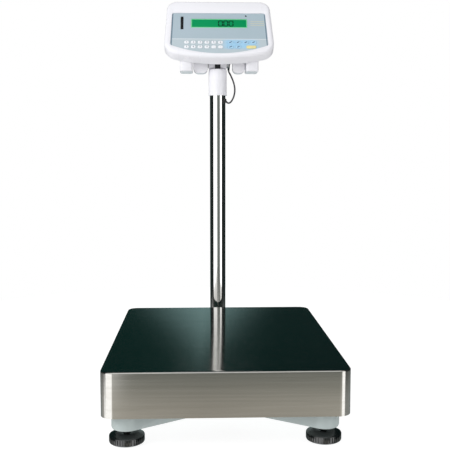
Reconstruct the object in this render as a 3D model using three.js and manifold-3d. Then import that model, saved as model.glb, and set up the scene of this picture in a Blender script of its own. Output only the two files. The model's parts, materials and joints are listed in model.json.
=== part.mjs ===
// A platform scale for weighing animals: a stainless pan over a cast base on levelling feet, and an
// indicator head that tilts on top of a column behind the pan. Millimetres, +Z up.
import * as THREE from 'three';
import { mergeVertices } from 'three/addons/utils/BufferGeometryUtils.js';
import Module from 'manifold-3d';

const wasm = await Module();
wasm.setup();

// ---------- Fits ----------
const TOUCH = 0.3; // left between faces that touch
const PAST = 1; // how far a cutting tool, or a solid that joins another, runs past the shared face
const HOLE_CLEARANCE = 0.3; // on the radius, for a bolt, stud or tube in its hole
const SIDE_CLEARANCE = 0.4; // on each side of a plate or key in its window

// ---------- Pan ----------
const PAN_WIDTH = 400;
const PAN_LENGTH = 500;
const PAN_CORNER = 21;
const PAN_BEND = 3;
const PAN_SHEET = 1.5;
const SKIRT_HEIGHT = 74.7;

// ---------- Feet ----------
const FOOT_INSET_X = 39;
const FOOT_INSET_Y = 40;
const WHEEL_RADIUS = 29;
const WHEEL_HEIGHT = 18;
const WHEEL_FLOOR_GAP = 1.2;
const WHEEL_SHOULDER = 20;
const WHEEL_BAND_TOP = 12.5;
const STUD_RADIUS = 5;
const STUD_TOP = 46;
const PAD_RADIUS = 22;
const PAD_HEIGHT = 4;

// ---------- Base casting ----------
const CUP_RADIUS = 25;
const CUP_BOTTOM = 24.4;
const CUP_ROUND = 4;
const CUP_PROUD = 0.5; // of the walls that run into it
const WALL_BOTTOM = 26;
const DECK_BOTTOM = 50;
const DECK_TOP = 56;
const CAST_WALL = 5;
const SWEEP_FRONT = 33;
const SWEEP_SIDE = 18;
const NOTCH_RADIUS = 40;
const RIB_THICKNESS = 6;
const RIB_HEIGHT = 14;
const STUD_HOLE_TOP = 54;

// ---------- Load cell stack ----------
const SPACER_HEIGHT = 4.7;
const CELL_WIDTH = 40;
const CELL_LENGTH = 150;
const CELL_HEIGHT = 35.7;
const CELL_EYE = 10;
const CELL_EYE_OFFSET = 16;
const CELL_SLOT = 4;
const PLATE_HEIGHT = 4.7;
const PLATE_WIDTH = 90;
const PLATE_FRONT = -78;
const PLATE_REAR = 50;
const ARM_WIDTH = 30;
const ARM_HEIGHT = 14;
const ARM_WALL = 3;
const BUFFER_INSET = 50;
const BUFFER_RADIUS = 12;
const BUFFER_HEIGHT = 3.9;
const BUFFER_STEM = 4;
const BUFFER_STEM_LENGTH = 9;
const BOLT_RADIUS = 4;
const BOLT_HEAD_RADIUS = 6.5;
const BOLT_HEAD_HEIGHT = 5;
const CELL_BOLT_SPACING = 22;
const CELL_BOLT_DEPTH = 14;

// ---------- Column ----------
const COLUMN_SETBACK = 50;
const COLUMN_RADIUS = 17.5;
const COLUMN_WALL = 1.5;
const SOCKET_WALL = 3.5;
const SOCKET_TOP = 108;
const CHANNEL_HALF = 28;
const CHANNEL_HEIGHT = 22;
const CHANNEL_WALL = 3;
const CHANNEL_FRONT = 78;
const BRACKET_BOLT_X = 17;
const BRACKET_BOLT_Y = 112;
const BRACKET_SEAT = 15; // of the deck behind the bracket bolts
const SKIRT_RELIEF = 2; // around the pan's skirt, where the bracket passes under it
const CABLE_RADIUS = 2.2;
const CABLE_HOLE = 5;
const CABLE_HOLE_Y = 96;

// ---------- Collar, lug and saddle ----------
const PIVOT_Z = 667;
const SWING_CLEARANCE = 0.5; // between the knuckles and the collar's top
const COLLAR_HEIGHT = 58;
const COLLAR_WALL = 3;
const COLLAR_CAP = 12;
const LUG_WIDTH = 12;
const LUG_RADIUS = 8;
const LUG_TANG = 9.7;
const KNUCKLE_RADIUS = 9;
const KNUCKLE_END = 20;
const SADDLE_DEPTH = 38;
const SADDLE_PLATE = 3.5;
const SADDLE_TOP = 12.5; // above the pivot
const CHEEK_CLEARANCE = 1.5; // between the left cheek and the collar
const CHEEK_WIDTHS = [32.5, 27.5]; // left, right
const LEAD_ROOM = 11; // the right cheek starts this much farther out, clear of the lead
const CHEEK_DEPTH = 30;
const CHEEK_BOTTOM = 18.5; // below the pivot
const CHEEK_ROUND = 11;

// ---------- Indicator case ----------
const FACE_TILT = 35;
const FACE_X = 3;
const FACE_FORWARD = 50;
const FACE_RISE = 20.5;
const CASE_WALL = 2.5;
const CASE_OUTLINE = {
  halfTop: 117, halfBottom: 121, top: 158, bottom: -10, bow: 14, topCorner: 24, bottomCorner: 34,
};
const CASE_EDGE = 7;
const FRONT_DEPTH = 25;
const FASCIA_OUTLINE = {
  halfTop: 104.5, halfBottom: 107.5, top: 119.4, bottom: 0, bow: 23, topCorner: 5, bottomCorner: 6,
};
const FASCIA_SUNK = 1.2;
const FASCIA_SHEET = 1;
const FACE_PLATE = 5;
const REAR_OUTLINE = {
  halfTop: 129, halfBottom: 131, top: 130, bottom: -22.5, bow: 11.5, topCorner: 20, bottomCorner: 40,
};
const REAR_FRONT = 5;
const REAR_BACK = 124;
const REAR_DRAFT = 12;
const REAR_EDGE = 12;
const REAR_REACH = 260; // longer than the rear shell is deep, along the face's normal
const REAR_STEP = 0.8; // the rear shell sits this far inside the front shell's outline
const LEG_X = 73;
const LEG_WIDTH = 28;
const LEG_FRONT = 20;
const LEG_DEPTH = 58;
const LEG_BOTTOM = -36.5;
const LEG_CORNER = 6;
const POCKET_CLEARANCE = 1; // around the saddle, in the rear shell
const INLET_X = 60;
const INLET_Z = 16;
const INLET_RADIUS = 5.5;
const INLET_FLANGE = 1.2;
const INLET_DEPTH = 12;

// ---------- Face parts ----------
const DISPLAY = { u: 0.5, v: 89.4, width: 125, height: 26.3 };
const DISPLAY_RIM = 3;
const LIGHT_BAR = { u: -82.3, v: 90, width: 5.8, height: 38 };
const KEY_TRAVEL = 0.5;
const KEY_PROUD = 0.8;
const KEY_EDGE = 0.5;
const KEY_HEIGHT = 8.6;
const KEY_ROWS = [32.2, 18.7];
const NUMBER_KEY = { first: -72, pitch: 14.92, count: 6, width: 11 };
const FUNCTION_KEY = { first: 24.5, pitch: 16.9, counts: [4, 2], width: 12.4 };
const WIDE_KEY = { u: 70.2, width: 22 };
const BOARD = { halfWidth: 95, bottom: 12, top: 112, thickness: 1.6 };
const BOSS_RADIUS = 3;

// ---------- Cords ----------
const LEAD_RADIUS = 1.8;
const GROMMET_TURN = -30;
const GROMMET_DIP = -35;
const GROMMET_RADIUS = 3.6;
const GROMMET_INSIDE = 3.4;
const GROMMET_PROFILE = [[0, 0], [5.4, 0], [5.4, 2], [2.6, 3.4], [2.2, 7], [0, 7]];
const GROMMET_BELOW_COLLAR = 11;
const BOOT_X = 25;
const BOOT_BACK = 12.5;
const BOOT_RADIUS = 4.4;
const BOOT_BELOW_PIVOT = 9.7;
const BOOT_ABOVE_PIVOT = 19;
const LEAD_ROUTE = [
  [20.4, 288.2, 584.2], [22.2, 287.4, 582.9], [25.2, 287.1, 582.5], [28.3, 287.4, 584.2],
  [31.2, 287.8, 587.8], [34.2, 288.3, 593], [36.6, 289.4, 600], [38, 291.2, 608], [38.1, 293.6, 616],
  [36.9, 296.9, 624.5], [34.6, 300.8, 633], [31.6, 304.8, 641], [28.6, 308.5, 648],
  [26.2, 311.4, 652.6], [25.1, 312.5, 656.6],
];
const CABLE_ROUTE = [
  [0, 75.6, 79], [0, 82, 79], [0, 90, 75.5], [0, 95, 68], [0, 96, 58], [0, 96.4, 48], [0, 100.5, 41],
  [0, 112, 39], [0, 160, 39], [0, 270, 39], [0, 286, 40.5], [0, 297, 48], [0, 300, 60],
  [0, 300, 120], [0, 300, 560], [0.3, 299.8, 575], [2, 299, 586], [5.4, 297, 592.6], [9, 295, 593.6],
  [12, 293.2, 592],
];

// ---------- Sizes that follow from the ones above ----------
const FOOT_X = PAN_WIDTH / 2 - FOOT_INSET_X;
const FOOT_Y = PAN_LENGTH / 2 - FOOT_INSET_Y;
const CELL_BOTTOM = DECK_TOP + SPACER_HEIGHT + 2 * TOUCH;
const CELL_TOP = CELL_BOTTOM + CELL_HEIGHT;
const PLATE_BOTTOM = CELL_TOP + SPACER_HEIGHT + 2 * TOUCH;
const ARM_BOTTOM = PLATE_BOTTOM + PLATE_HEIGHT;
const ARM_TOP = ARM_BOTTOM + ARM_HEIGHT;
const PAN_INSIDE = ARM_TOP + BUFFER_HEIGHT + 2 * TOUCH;
const PAN_TOP = PAN_INSIDE + PAN_SHEET;
const SKIRT_BOTTOM = PAN_TOP - SKIRT_HEIGHT;
const BUFFER_X = PAN_WIDTH / 2 - BUFFER_INSET;
const BUFFER_Y = PAN_LENGTH / 2 - BUFFER_INSET;
const CELL_END = CELL_LENGTH / 2 - CELL_WIDTH / 2;
const COLUMN_Y = PAN_LENGTH / 2 + COLUMN_SETBACK;
const CHANNEL_TOP = DECK_BOTTOM - TOUCH;
const SOCKET_INSIDE = COLUMN_RADIUS + HOLE_CLEARANCE;
const COLLAR_TOP = PIVOT_Z - KNUCKLE_RADIUS - SWING_CLEARANCE;
const COLLAR_BOTTOM = COLLAR_TOP - COLLAR_HEIGHT;
const BOOT_BOTTOM = PIVOT_Z - BOOT_BELOW_PIVOT;
const BOOT_TOP = PIVOT_Z + BOOT_ABOVE_PIVOT;
const BOOT_Y = COLUMN_Y + BOOT_BACK;
const TUBE_TOP = COLLAR_TOP - COLLAR_CAP - TOUCH;
const GROMMET_Z = COLLAR_BOTTOM - GROMMET_BELOW_COLLAR;
const LEFT_CHEEK = COLUMN_RADIUS + COLLAR_WALL + CHEEK_CLEARANCE;
const RIGHT_CHEEK = LEFT_CHEEK + LEAD_ROOM;
const CHEEKS = [
  { inner: -LEFT_CHEEK, outer: -LEFT_CHEEK - CHEEK_WIDTHS[0] },
  { inner: RIGHT_CHEEK, outer: RIGHT_CHEEK + CHEEK_WIDTHS[1] },
];
const SADDLE_LEFT = CHEEKS[0].outer;
const SADDLE_RIGHT = CHEEKS[1].outer;
const FACE_Y = COLUMN_Y - FACE_FORWARD;
const FACE_Z = PIVOT_Z + FACE_RISE;
const FLOOR_FRONT = FASCIA_SUNK + FASCIA_SHEET + TOUCH;
const KEY_BOTTOM = FACE_PLATE + 1.5;
const BOARD_FRONT = KEY_BOTTOM + KEY_TRAVEL + 2 * TOUCH;
const REARMOST = FACE_Y + REAR_BACK + TOUCH + INLET_FLANGE;
const CENTRE_Y = (REARMOST - PAN_LENGTH / 2) / 2;

// ---------- Solids ----------
const radians = THREE.MathUtils.degToRad;

// A closed geometry as a solid, turned the right way out.
function solid(geometry) {
  const bare = geometry.index ? geometry.toNonIndexed() : geometry.clone();
  bare.deleteAttribute('normal');
  bare.deleteAttribute('uv');
  const merged = mergeVertices(bare, 1e-4);
  const vertProperties = new Float32Array(merged.attributes.position.array);
  const triVerts = new Uint32Array(merged.index.array);
  const made = new wasm.Manifold(new wasm.Mesh({ numProp: 3, vertProperties, triVerts }));
  if (made.volume() > 0) return made;
  return new wasm.Manifold(new wasm.Mesh({ numProp: 3, vertProperties, triVerts: triVerts.reverse() }));
}

function geometryOf(made) {
  const mesh = made.getMesh();
  const geometry = new THREE.BufferGeometry();
  geometry.setAttribute('position', new THREE.BufferAttribute(mesh.vertProperties, 3));
  geometry.setIndex(new THREE.BufferAttribute(mesh.triVerts, 1));
  geometry.computeVertexNormals();
  return geometry;
}

const join = (first, ...others) => others.reduce((made, other) => made.add(other), first);
const cut = (first, ...others) => others.reduce((made, other) => made.subtract(other), first);

function box(x0, x1, y0, y1, z0, z1) {
  const geometry = new THREE.BoxGeometry(x1 - x0, y1 - y0, z1 - z0);
  geometry.translate((x0 + x1) / 2, (y0 + y1) / 2, (z0 + z1) / 2);
  return solid(geometry);
}

// A solid of revolution about the vertical through (x, y): profile is a list of [radius, z].
function turned(profile, x = 0, y = 0, segments = 24) {
  const geometry = new THREE.LatheGeometry(profile.map(([r, z]) => new THREE.Vector2(r, z)), segments);
  geometry.rotateX(Math.PI / 2);
  geometry.translate(x, y, 0);
  return solid(geometry);
}

const rod = (radius, z0, z1, x = 0, y = 0, segments = 24) =>
  turned([[0, z0], [radius, z0], [radius, z1], [0, z1]], x, y, segments);

// A rod along X, from x0 to x1, through (y, z).
function rodX(radius, x0, x1, y, z, segments = 20) {
  const geometry = new THREE.CylinderGeometry(radius, radius, x1 - x0, segments);
  geometry.rotateZ(Math.PI / 2);
  geometry.translate((x0 + x1) / 2, y, z);
  return solid(geometry);
}

// A rod along Y, from y0 to y1, through (x, z).
function rodY(radius, y0, y1, x, z, segments = 16) {
  const geometry = new THREE.CylinderGeometry(radius, radius, y1 - y0, segments);
  geometry.translate(x, (y0 + y1) / 2, z);
  return solid(geometry);
}

// A solid skinned over rings of equally many points, closed by a fan at each end.
function loft(rings) {
  const count = rings[0].length;
  const middle = (ring) => ring.reduce((sum, p) => sum.clone().add(p)).divideScalar(count);
  const points = [...rings.flat(), middle(rings[0]), middle(rings.at(-1))];
  const faces = [];
  for (let i = 0; i < count; i += 1) {
    const next = (i + 1) % count;
    const last = (rings.length - 1) * count;
    faces.push(next, i, points.length - 2, last + i, last + next, points.length - 1);
    for (let ring = 0; ring < rings.length - 1; ring += 1) {
      const low = ring * count;
      const high = low + count;
      faces.push(low + i, low + next, high + next, low + i, high + next, high + i);
    }
  }
  const geometry = new THREE.BufferGeometry().setFromPoints(points);
  geometry.setIndex(faces);
  return solid(geometry);
}

const raised = (outline, z) => outline.map((p) => new THREE.Vector3(p.x, p.y, z));
const prism = (outline, z0, z1) => loft([raised(outline, z0), raised(outline, z1)]);

function roundedRect(width, depth, radius, x = 0, y = 0, steps = 3) {
  const points = [];
  for (const [sx, sy, start] of [[1, -1, -90], [1, 1, 0], [-1, 1, 90], [-1, -1, 180]]) {
    for (let i = 0; i <= steps; i += 1) {
      const angle = radians(start + (90 * i) / steps);
      const cx = x + sx * (width / 2 - radius);
      const cy = y + sy * (depth / 2 - radius);
      points.push(new THREE.Vector2(cx + radius * Math.cos(angle), cy + radius * Math.sin(angle)));
    }
  }
  return points;
}

function arc(points, cx, cy, radius, start, end, steps) {
  for (let i = 0; i <= steps; i += 1) {
    const angle = radians(start + ((end - start) * i) / steps);
    points.push(new THREE.Vector2(cx + radius * Math.cos(angle), cy + radius * Math.sin(angle)));
  }
}

// An outline with a bowed lower edge and round corners, drawn in by an inset.
function bowedOutline(shape, inset = 0) {
  const bottomCorner = Math.max(shape.bottomCorner - inset, 2);
  const topCorner = Math.max(shape.topCorner - inset, 2);
  const bow = radians(shape.bow);
  const endX = shape.halfBottom - inset - bottomCorner * (1 - Math.sin(bow));
  const rise = (endX * Math.tan(bow)) / 2;
  const bottom = shape.bottom + inset;
  const cornerX = endX - bottomCorner * Math.sin(bow);
  const cornerY = bottom + rise + bottomCorner * Math.cos(bow);
  const topX = shape.halfTop - inset - topCorner;
  const topY = shape.top - inset - topCorner;
  const points = [];
  for (let i = -5; i < 6; i += 1) {
    const share = i / 6;
    points.push(new THREE.Vector2(endX * share, bottom + rise * share * share));
  }
  arc(points, cornerX, cornerY, bottomCorner, shape.bow - 90, 0, 5);
  arc(points, topX, topY, topCorner, 0, 90, 4);
  arc(points, -topX, topY, topCorner, 90, 180, 4);
  arc(points, -cornerX, cornerY, bottomCorner, 180, 270 - shape.bow, 5);
  return points;
}

// ---------- Parts ----------
const scale = new THREE.Group();
scale.position.y = -CENTRE_Y;

function add(name, made, [color, roughness, metalness], parent = scale) {
  const material = new THREE.MeshStandardMaterial({ color, roughness, metalness });
  const mesh = new THREE.Mesh(geometryOf(made), material);
  mesh.name = name;
  parent.add(mesh);
  return mesh;
}

const STAINLESS = [0x9b978f, 0.3, 1];
const POLISHED = [0xd8d8d8, 0.08, 1];
const STEEL = [0x6f7276, 0.4, 1];
const DARK_STEEL = [0x2b2d2f, 0.5, 0.9];
const ALUMINIUM = [0xb9bcbf, 0.35, 1];
const GREY_PAINT = [0xb4bcbd, 0.5, 0];
const BLACK_PLASTIC = [0x0b0f0f, 0.2, 0];
const RUBBER = [0x151515, 0.8, 0];
const CORD = [0x2c2c2e, 0.5, 0];
const WHITE_PLASTIC = [0xf2f2f5, 0.35, 0];
const KEY_WHITE = [0xf4f6f8, 0.4, 0];
const KEY_BLUE = [0xa9d0ee, 0.4, 0];
const KEY_YELLOW = [0xefe3a4, 0.4, 0];
const FASCIA_BLUE = [0xb7c8d6, 0.35, 0];
const DISPLAY_GREEN = [0x0fa650, 0.2, 0];
const BOARD_GREEN = [0x1d5a34, 0.6, 0];

const CORNERS = [
  ['front_left', -1, -1], ['front_right', 1, -1], ['rear_right', 1, 1], ['rear_left', -1, 1],
];

function weighingPan() {
  const shell = (inset, bottom, top, bend) => {
    const ring = (extra, z) => raised(roundedRect(
      PAN_WIDTH - 2 * (inset + extra), PAN_LENGTH - 2 * (inset + extra), PAN_CORNER - inset - extra, 0, 0, 6,
    ), z);
    const rings = [ring(0, bottom)];
    for (let i = 0; i <= 3; i += 1) {
      const angle = radians(30 * i);
      rings.push(ring(bend * (1 - Math.cos(angle)), top - bend * (1 - Math.sin(angle))));
    }
    return loft(rings);
  };
  const outer = shell(0, SKIRT_BOTTOM, PAN_TOP, PAN_BEND);
  return cut(outer, shell(PAN_SHEET, SKIRT_BOTTOM - PAST, PAN_INSIDE, PAN_BEND - PAN_SHEET));
}

// The casting's plan: a cup at each corner, joined by straight walls that sweep in to round notches.
function castingPlan(inset) {
  const cup = CUP_RADIUS - CUP_PROUD - inset;
  const notch = NOTCH_RADIUS + inset;
  const reach = CUP_RADIUS - CUP_PROUD + NOTCH_RADIUS;
  const front = radians(SWEEP_FRONT);
  const side = radians(SWEEP_SIDE);
  const notchY = (FOOT_Y * Math.cos(front) - FOOT_X * Math.sin(front) + reach) / Math.cos(front);
  const notchX = (FOOT_X * Math.cos(side) - FOOT_Y * Math.sin(side) + reach) / Math.cos(side);
  const f = SWEEP_FRONT;
  const s = SWEEP_SIDE;
  const points = [];
  arc(points, -FOOT_X, -FOOT_Y, cup, 180 - s, 270 + f, 6);
  arc(points, 0, -notchY, notch, 90 + f, 90 - f, 6);
  arc(points, FOOT_X, -FOOT_Y, cup, 270 - f, 360 + s, 6);
  arc(points, notchX, 0, notch, 180 + s, 180 - s, 4);
  arc(points, FOOT_X, FOOT_Y, cup, -s, 90 + f, 6);
  arc(points, 0, notchY, notch, 270 + f, 270 - f, 6);
  arc(points, -FOOT_X, FOOT_Y, cup, 90 - f, 180 + s, 6);
  arc(points, -notchX, 0, notch, s, -s, 4);
  return points;
}

// A bar of the given width across the platform, from corner to corner.
function diagonalBar(width, z0, z1, halfX, halfY, turn, beyond = 0) {
  const length = 2 * (Math.hypot(halfX, halfY) + beyond);
  const geometry = new THREE.BoxGeometry(length, width, z1 - z0);
  geometry.rotateZ(turn * Math.atan2(halfY, halfX));
  geometry.translate(0, 0, (z0 + z1) / 2);
  return solid(geometry);
}

function baseCasting() {
  const tray = cut(
    prism(castingPlan(0), WALL_BOTTOM, DECK_TOP),
    prism(castingPlan(CAST_WALL), WALL_BOTTOM - PAST, DECK_BOTTOM),
  );
  const ribs = [1, -1].map((turn) =>
    diagonalBar(RIB_THICKNESS, DECK_BOTTOM - RIB_HEIGHT, DECK_BOTTOM + PAST, FOOT_X, FOOT_Y, turn));
  const cupProfile = [
    [0, CUP_BOTTOM], [CUP_RADIUS - CUP_ROUND, CUP_BOTTOM],
    [CUP_RADIUS - CUP_ROUND * 0.3, CUP_BOTTOM + CUP_ROUND * 0.3], [CUP_RADIUS, CUP_BOTTOM + CUP_ROUND],
    [CUP_RADIUS, DECK_TOP], [0, DECK_TOP],
  ];
  const cups = CORNERS.map(([, sx, sy]) => turned(cupProfile, sx * FOOT_X, sy * FOOT_Y, 28));
  const bracketSeat = box(
    -CHANNEL_HALF, CHANNEL_HALF, CHANNEL_FRONT, BRACKET_BOLT_Y + BRACKET_SEAT, DECK_BOTTOM, DECK_TOP,
  );
  const studHoles = CORNERS.map(([, sx, sy]) =>
    rod(STUD_RADIUS + HOLE_CLEARANCE, CUP_BOTTOM - PAST, STUD_HOLE_TOP, sx * FOOT_X, sy * FOOT_Y, 16));
  const throughHoles = [...cellBoltPlaces(1), ...bracketBoltPlaces()].map(([x, y]) =>
    rod(BOLT_RADIUS + HOLE_CLEARANCE, DECK_BOTTOM - PAST, DECK_TOP + PAST, x, y, 16));
  const bracketGap = CHANNEL_HALF + SIDE_CLEARANCE;
  return cut(
    join(tray, bracketSeat, ...ribs, ...cups),
    ...studHoles,
    ...throughHoles,
    rod(CABLE_HOLE, DECK_BOTTOM - PAST, DECK_TOP + PAST, 0, CABLE_HOLE_Y, 16),
    box(-bracketGap, bracketGap, CHANNEL_FRONT - PAST, FOOT_Y, WALL_BOTTOM - PAST, DECK_BOTTOM),
  );
}

const cellBoltPlaces = (end) => [-1, 1].map((side) => [(side * CELL_BOLT_SPACING) / 2, end * CELL_END]);
const bracketBoltPlaces = () => [-1, 1].map((side) => [side * BRACKET_BOLT_X, BRACKET_BOLT_Y]);

function loadCell() {
  const middle = (CELL_BOTTOM + CELL_TOP) / 2;
  const half = CELL_WIDTH / 2;
  const blind = (end, z0, z1) => cellBoltPlaces(end).map(([x, y]) =>
    rod(BOLT_RADIUS + HOLE_CLEARANCE, z0, z1, x, y, 16));
  return cut(
    box(-half, half, -CELL_LENGTH / 2, CELL_LENGTH / 2, CELL_BOTTOM, CELL_TOP),
    rodX(CELL_EYE, -half - PAST, half + PAST, -CELL_EYE_OFFSET, middle),
    rodX(CELL_EYE, -half - PAST, half + PAST, CELL_EYE_OFFSET, middle),
    box(-half - PAST, half + PAST, -CELL_EYE_OFFSET, CELL_EYE_OFFSET,
      middle - CELL_SLOT / 2, middle + CELL_SLOT / 2),
    ...blind(1, CELL_BOTTOM - PAST, CELL_BOTTOM + CELL_BOLT_DEPTH + PAST),
    ...blind(-1, CELL_TOP - CELL_BOLT_DEPTH - PAST, CELL_TOP + PAST),
  );
}

function spacer(end, z0) {
  const half = CELL_WIDTH / 2;
  return cut(
    box(-half, half, end * CELL_END - half, end * CELL_END + half, z0, z0 + SPACER_HEIGHT),
    ...cellBoltPlaces(end).map(([x, y]) =>
      rod(BOLT_RADIUS + HOLE_CLEARANCE, z0 - PAST, z0 + SPACER_HEIGHT + PAST, x, y, 16)),
  );
}

// A bolt with a hexagon head; the shank runs from the head's seat to the tip, up or down.
function bolt(x, y, seat, tip) {
  const up = Math.sign(tip - seat);
  const head = rod(BOLT_HEAD_RADIUS, ...[seat - up * BOLT_HEAD_HEIGHT, seat].sort((a, b) => a - b), x, y, 6);
  const shank = rod(BOLT_RADIUS, ...[seat - up, tip].sort((a, b) => a - b), x, y, 16);
  return join(head, shank);
}

function panCarrier() {
  const beyond = ARM_WIDTH / 2;
  const arms = [1, -1].map((turn) =>
    diagonalBar(ARM_WIDTH, ARM_BOTTOM, ARM_TOP, BUFFER_X, BUFFER_Y, turn, beyond));
  const hollows = [1, -1].map((turn) =>
    diagonalBar(ARM_WIDTH - 2 * ARM_WALL, ARM_BOTTOM - PAST, ARM_TOP - ARM_WALL, BUFFER_X, BUFFER_Y, turn,
      beyond + PAST));
  const plate = box(-PLATE_WIDTH / 2, PLATE_WIDTH / 2, PLATE_FRONT, PLATE_REAR, PLATE_BOTTOM, ARM_BOTTOM);
  const stemHoles = CORNERS.map(([, sx, sy]) =>
    rod(BUFFER_STEM + HOLE_CLEARANCE, ARM_BOTTOM, ARM_TOP + PAST, sx * BUFFER_X, sy * BUFFER_Y, 16));
  const boltHoles = cellBoltPlaces(-1).map(([x, y]) =>
    rod(BOLT_RADIUS + HOLE_CLEARANCE, PLATE_BOTTOM - PAST, ARM_BOTTOM + PAST, x, y, 16));
  return cut(join(cut(join(...arms), ...hollows), plate), ...stemHoles, ...boltHoles);
}

function panBuffer(sx, sy) {
  const seat = ARM_TOP + TOUCH;
  return turned([
    [0, seat - BUFFER_STEM_LENGTH], [BUFFER_STEM, seat - BUFFER_STEM_LENGTH], [BUFFER_STEM, seat],
    [BUFFER_RADIUS, seat], [BUFFER_RADIUS, seat + BUFFER_HEIGHT - 1],
    [BUFFER_RADIUS - 1, seat + BUFFER_HEIGHT], [0, seat + BUFFER_HEIGHT],
  ], sx * BUFFER_X, sy * BUFFER_Y, 16);
}

function levellingFoot(sx, sy) {
  const recess = PAD_RADIUS + HOLE_CLEARANCE;
  return turned([
    [0, PAD_HEIGHT + TOUCH], [recess, PAD_HEIGHT + TOUCH], [recess, WHEEL_FLOOR_GAP],
    [WHEEL_RADIUS - 2, WHEEL_FLOOR_GAP], [WHEEL_RADIUS, WHEEL_FLOOR_GAP + 2.5],
    [WHEEL_RADIUS, WHEEL_BAND_TOP], [WHEEL_RADIUS - 2, WHEEL_BAND_TOP + 1.5],
    [WHEEL_SHOULDER, WHEEL_HEIGHT - 0.8], [WHEEL_SHOULDER - 1.5, WHEEL_HEIGHT],
    [STUD_RADIUS, WHEEL_HEIGHT], [STUD_RADIUS, STUD_TOP - 1], [STUD_RADIUS - 1, STUD_TOP], [0, STUD_TOP],
  ], sx * FOOT_X, sy * FOOT_Y, 24);
}

function footPad(sx, sy) {
  return turned([
    [0, 0], [PAD_RADIUS - 0.8, 0], [PAD_RADIUS, 0.8], [PAD_RADIUS, PAD_HEIGHT], [0, PAD_HEIGHT],
  ], sx * FOOT_X, sy * FOOT_Y, 24);
}

// The bracket's plan: a straight channel with a round end under the column.
function channelPlan(inset) {
  const half = CHANNEL_HALF - inset;
  const points = [new THREE.Vector2(-half, CHANNEL_FRONT + inset)];
  points.push(new THREE.Vector2(half, CHANNEL_FRONT + inset));
  arc(points, 0, COLUMN_Y, half, 0, 180, 16);
  return points;
}

function columnBracket() {
  const bottom = CHANNEL_TOP - CHANNEL_HEIGHT;
  const inside = CHANNEL_TOP - CHANNEL_WALL;
  const channel = cut(
    prism(channelPlan(0), bottom, CHANNEL_TOP),
    prism(channelPlan(CHANNEL_WALL), bottom - PAST, inside),
  );
  const socket = cut(
    rod(COLUMN_RADIUS + SOCKET_WALL, inside, SOCKET_TOP, 0, COLUMN_Y, 32),
    rod(SOCKET_INSIDE, CHANNEL_TOP, SOCKET_TOP + PAST, 0, COLUMN_Y, 32),
  );
  const skirt = PAN_LENGTH / 2;
  return cut(
    join(channel, socket),
    box(-CHANNEL_HALF - PAST, CHANNEL_HALF + PAST, skirt - PAN_SHEET - SKIRT_RELIEF, skirt + SKIRT_RELIEF,
      SKIRT_BOTTOM - SKIRT_RELIEF, PAN_TOP),
    rod(CABLE_HOLE, inside - PAST, CHANNEL_TOP + PAST, 0, CABLE_HOLE_Y, 16),
    rod(COLUMN_RADIUS / 2, inside - PAST, CHANNEL_TOP + PAST, 0, COLUMN_Y, 20),
    ...bracketBoltPlaces().map(([x, y]) =>
      rod(BOLT_RADIUS + HOLE_CLEARANCE, inside - PAST, CHANNEL_TOP + PAST, x, y, 16)),
  );
}

// The grommet's axis leaves the tube's wall sideways and downwards; s is the way along it.
const grommetAxis = new THREE.Vector3(
  Math.cos(radians(GROMMET_TURN)) * Math.cos(radians(GROMMET_DIP)),
  Math.sin(radians(GROMMET_TURN)) * Math.cos(radians(GROMMET_DIP)),
  Math.sin(radians(GROMMET_DIP)),
);

function alongGrommet(profile, segments) {
  const geometry = new THREE.LatheGeometry(profile.map(([r, s]) => new THREE.Vector2(r, s)), segments);
  const up = new THREE.Vector3(0, 1, 0);
  geometry.applyQuaternion(new THREE.Quaternion().setFromUnitVectors(up, grommetAxis));
  geometry.translate(
    COLUMN_RADIUS * Math.cos(radians(GROMMET_TURN)),
    COLUMN_Y + COLUMN_RADIUS * Math.sin(radians(GROMMET_TURN)),
    GROMMET_Z,
  );
  return solid(geometry);
}

function columnTube() {
  const hole = GROMMET_RADIUS + HOLE_CLEARANCE;
  return cut(
    rod(COLUMN_RADIUS, CHANNEL_TOP + TOUCH, TUBE_TOP, 0, COLUMN_Y, 32),
    rod(COLUMN_RADIUS - COLUMN_WALL, CHANNEL_TOP - PAST, TUBE_TOP + PAST, 0, COLUMN_Y, 32),
    alongGrommet([[0, -2 * hole], [hole, -2 * hole], [hole, 2 * hole], [0, 2 * hole]], 20),
  );
}

function columnGrommet() {
  const stem = [[0, -GROMMET_INSIDE], [GROMMET_RADIUS, -GROMMET_INSIDE], [GROMMET_RADIUS, PAST], [0, PAST]];
  const tube = rod(COLUMN_RADIUS + TOUCH, GROMMET_Z - COLUMN_RADIUS, GROMMET_Z + COLUMN_RADIUS, 0, COLUMN_Y);
  return join(cut(alongGrommet(GROMMET_PROFILE, 20), tube), alongGrommet(stem, 20));
}

function columnCollar() {
  const outside = COLUMN_RADIUS + COLLAR_WALL;
  const slot = LUG_WIDTH / 2 + HOLE_CLEARANCE;
  const slotY = LUG_RADIUS + HOLE_CLEARANCE;
  const shell = turned([
    [SOCKET_INSIDE, COLLAR_BOTTOM], [outside - 0.8, COLLAR_BOTTOM], [outside, COLLAR_BOTTOM + 0.8],
    [outside, COLLAR_TOP - 2], [outside - 0.6, COLLAR_TOP - 0.6], [outside - 2, COLLAR_TOP],
    [0, COLLAR_TOP], [0, COLLAR_TOP - COLLAR_CAP], [SOCKET_INSIDE, COLLAR_TOP - COLLAR_CAP],
    [SOCKET_INSIDE, COLLAR_BOTTOM],
  ], 0, COLUMN_Y, 32);
  return cut(shell,
    box(-slot, slot, COLUMN_Y - slotY, COLUMN_Y + slotY, COLLAR_TOP - LUG_TANG - TOUCH, COLLAR_TOP + PAST));
}

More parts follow.
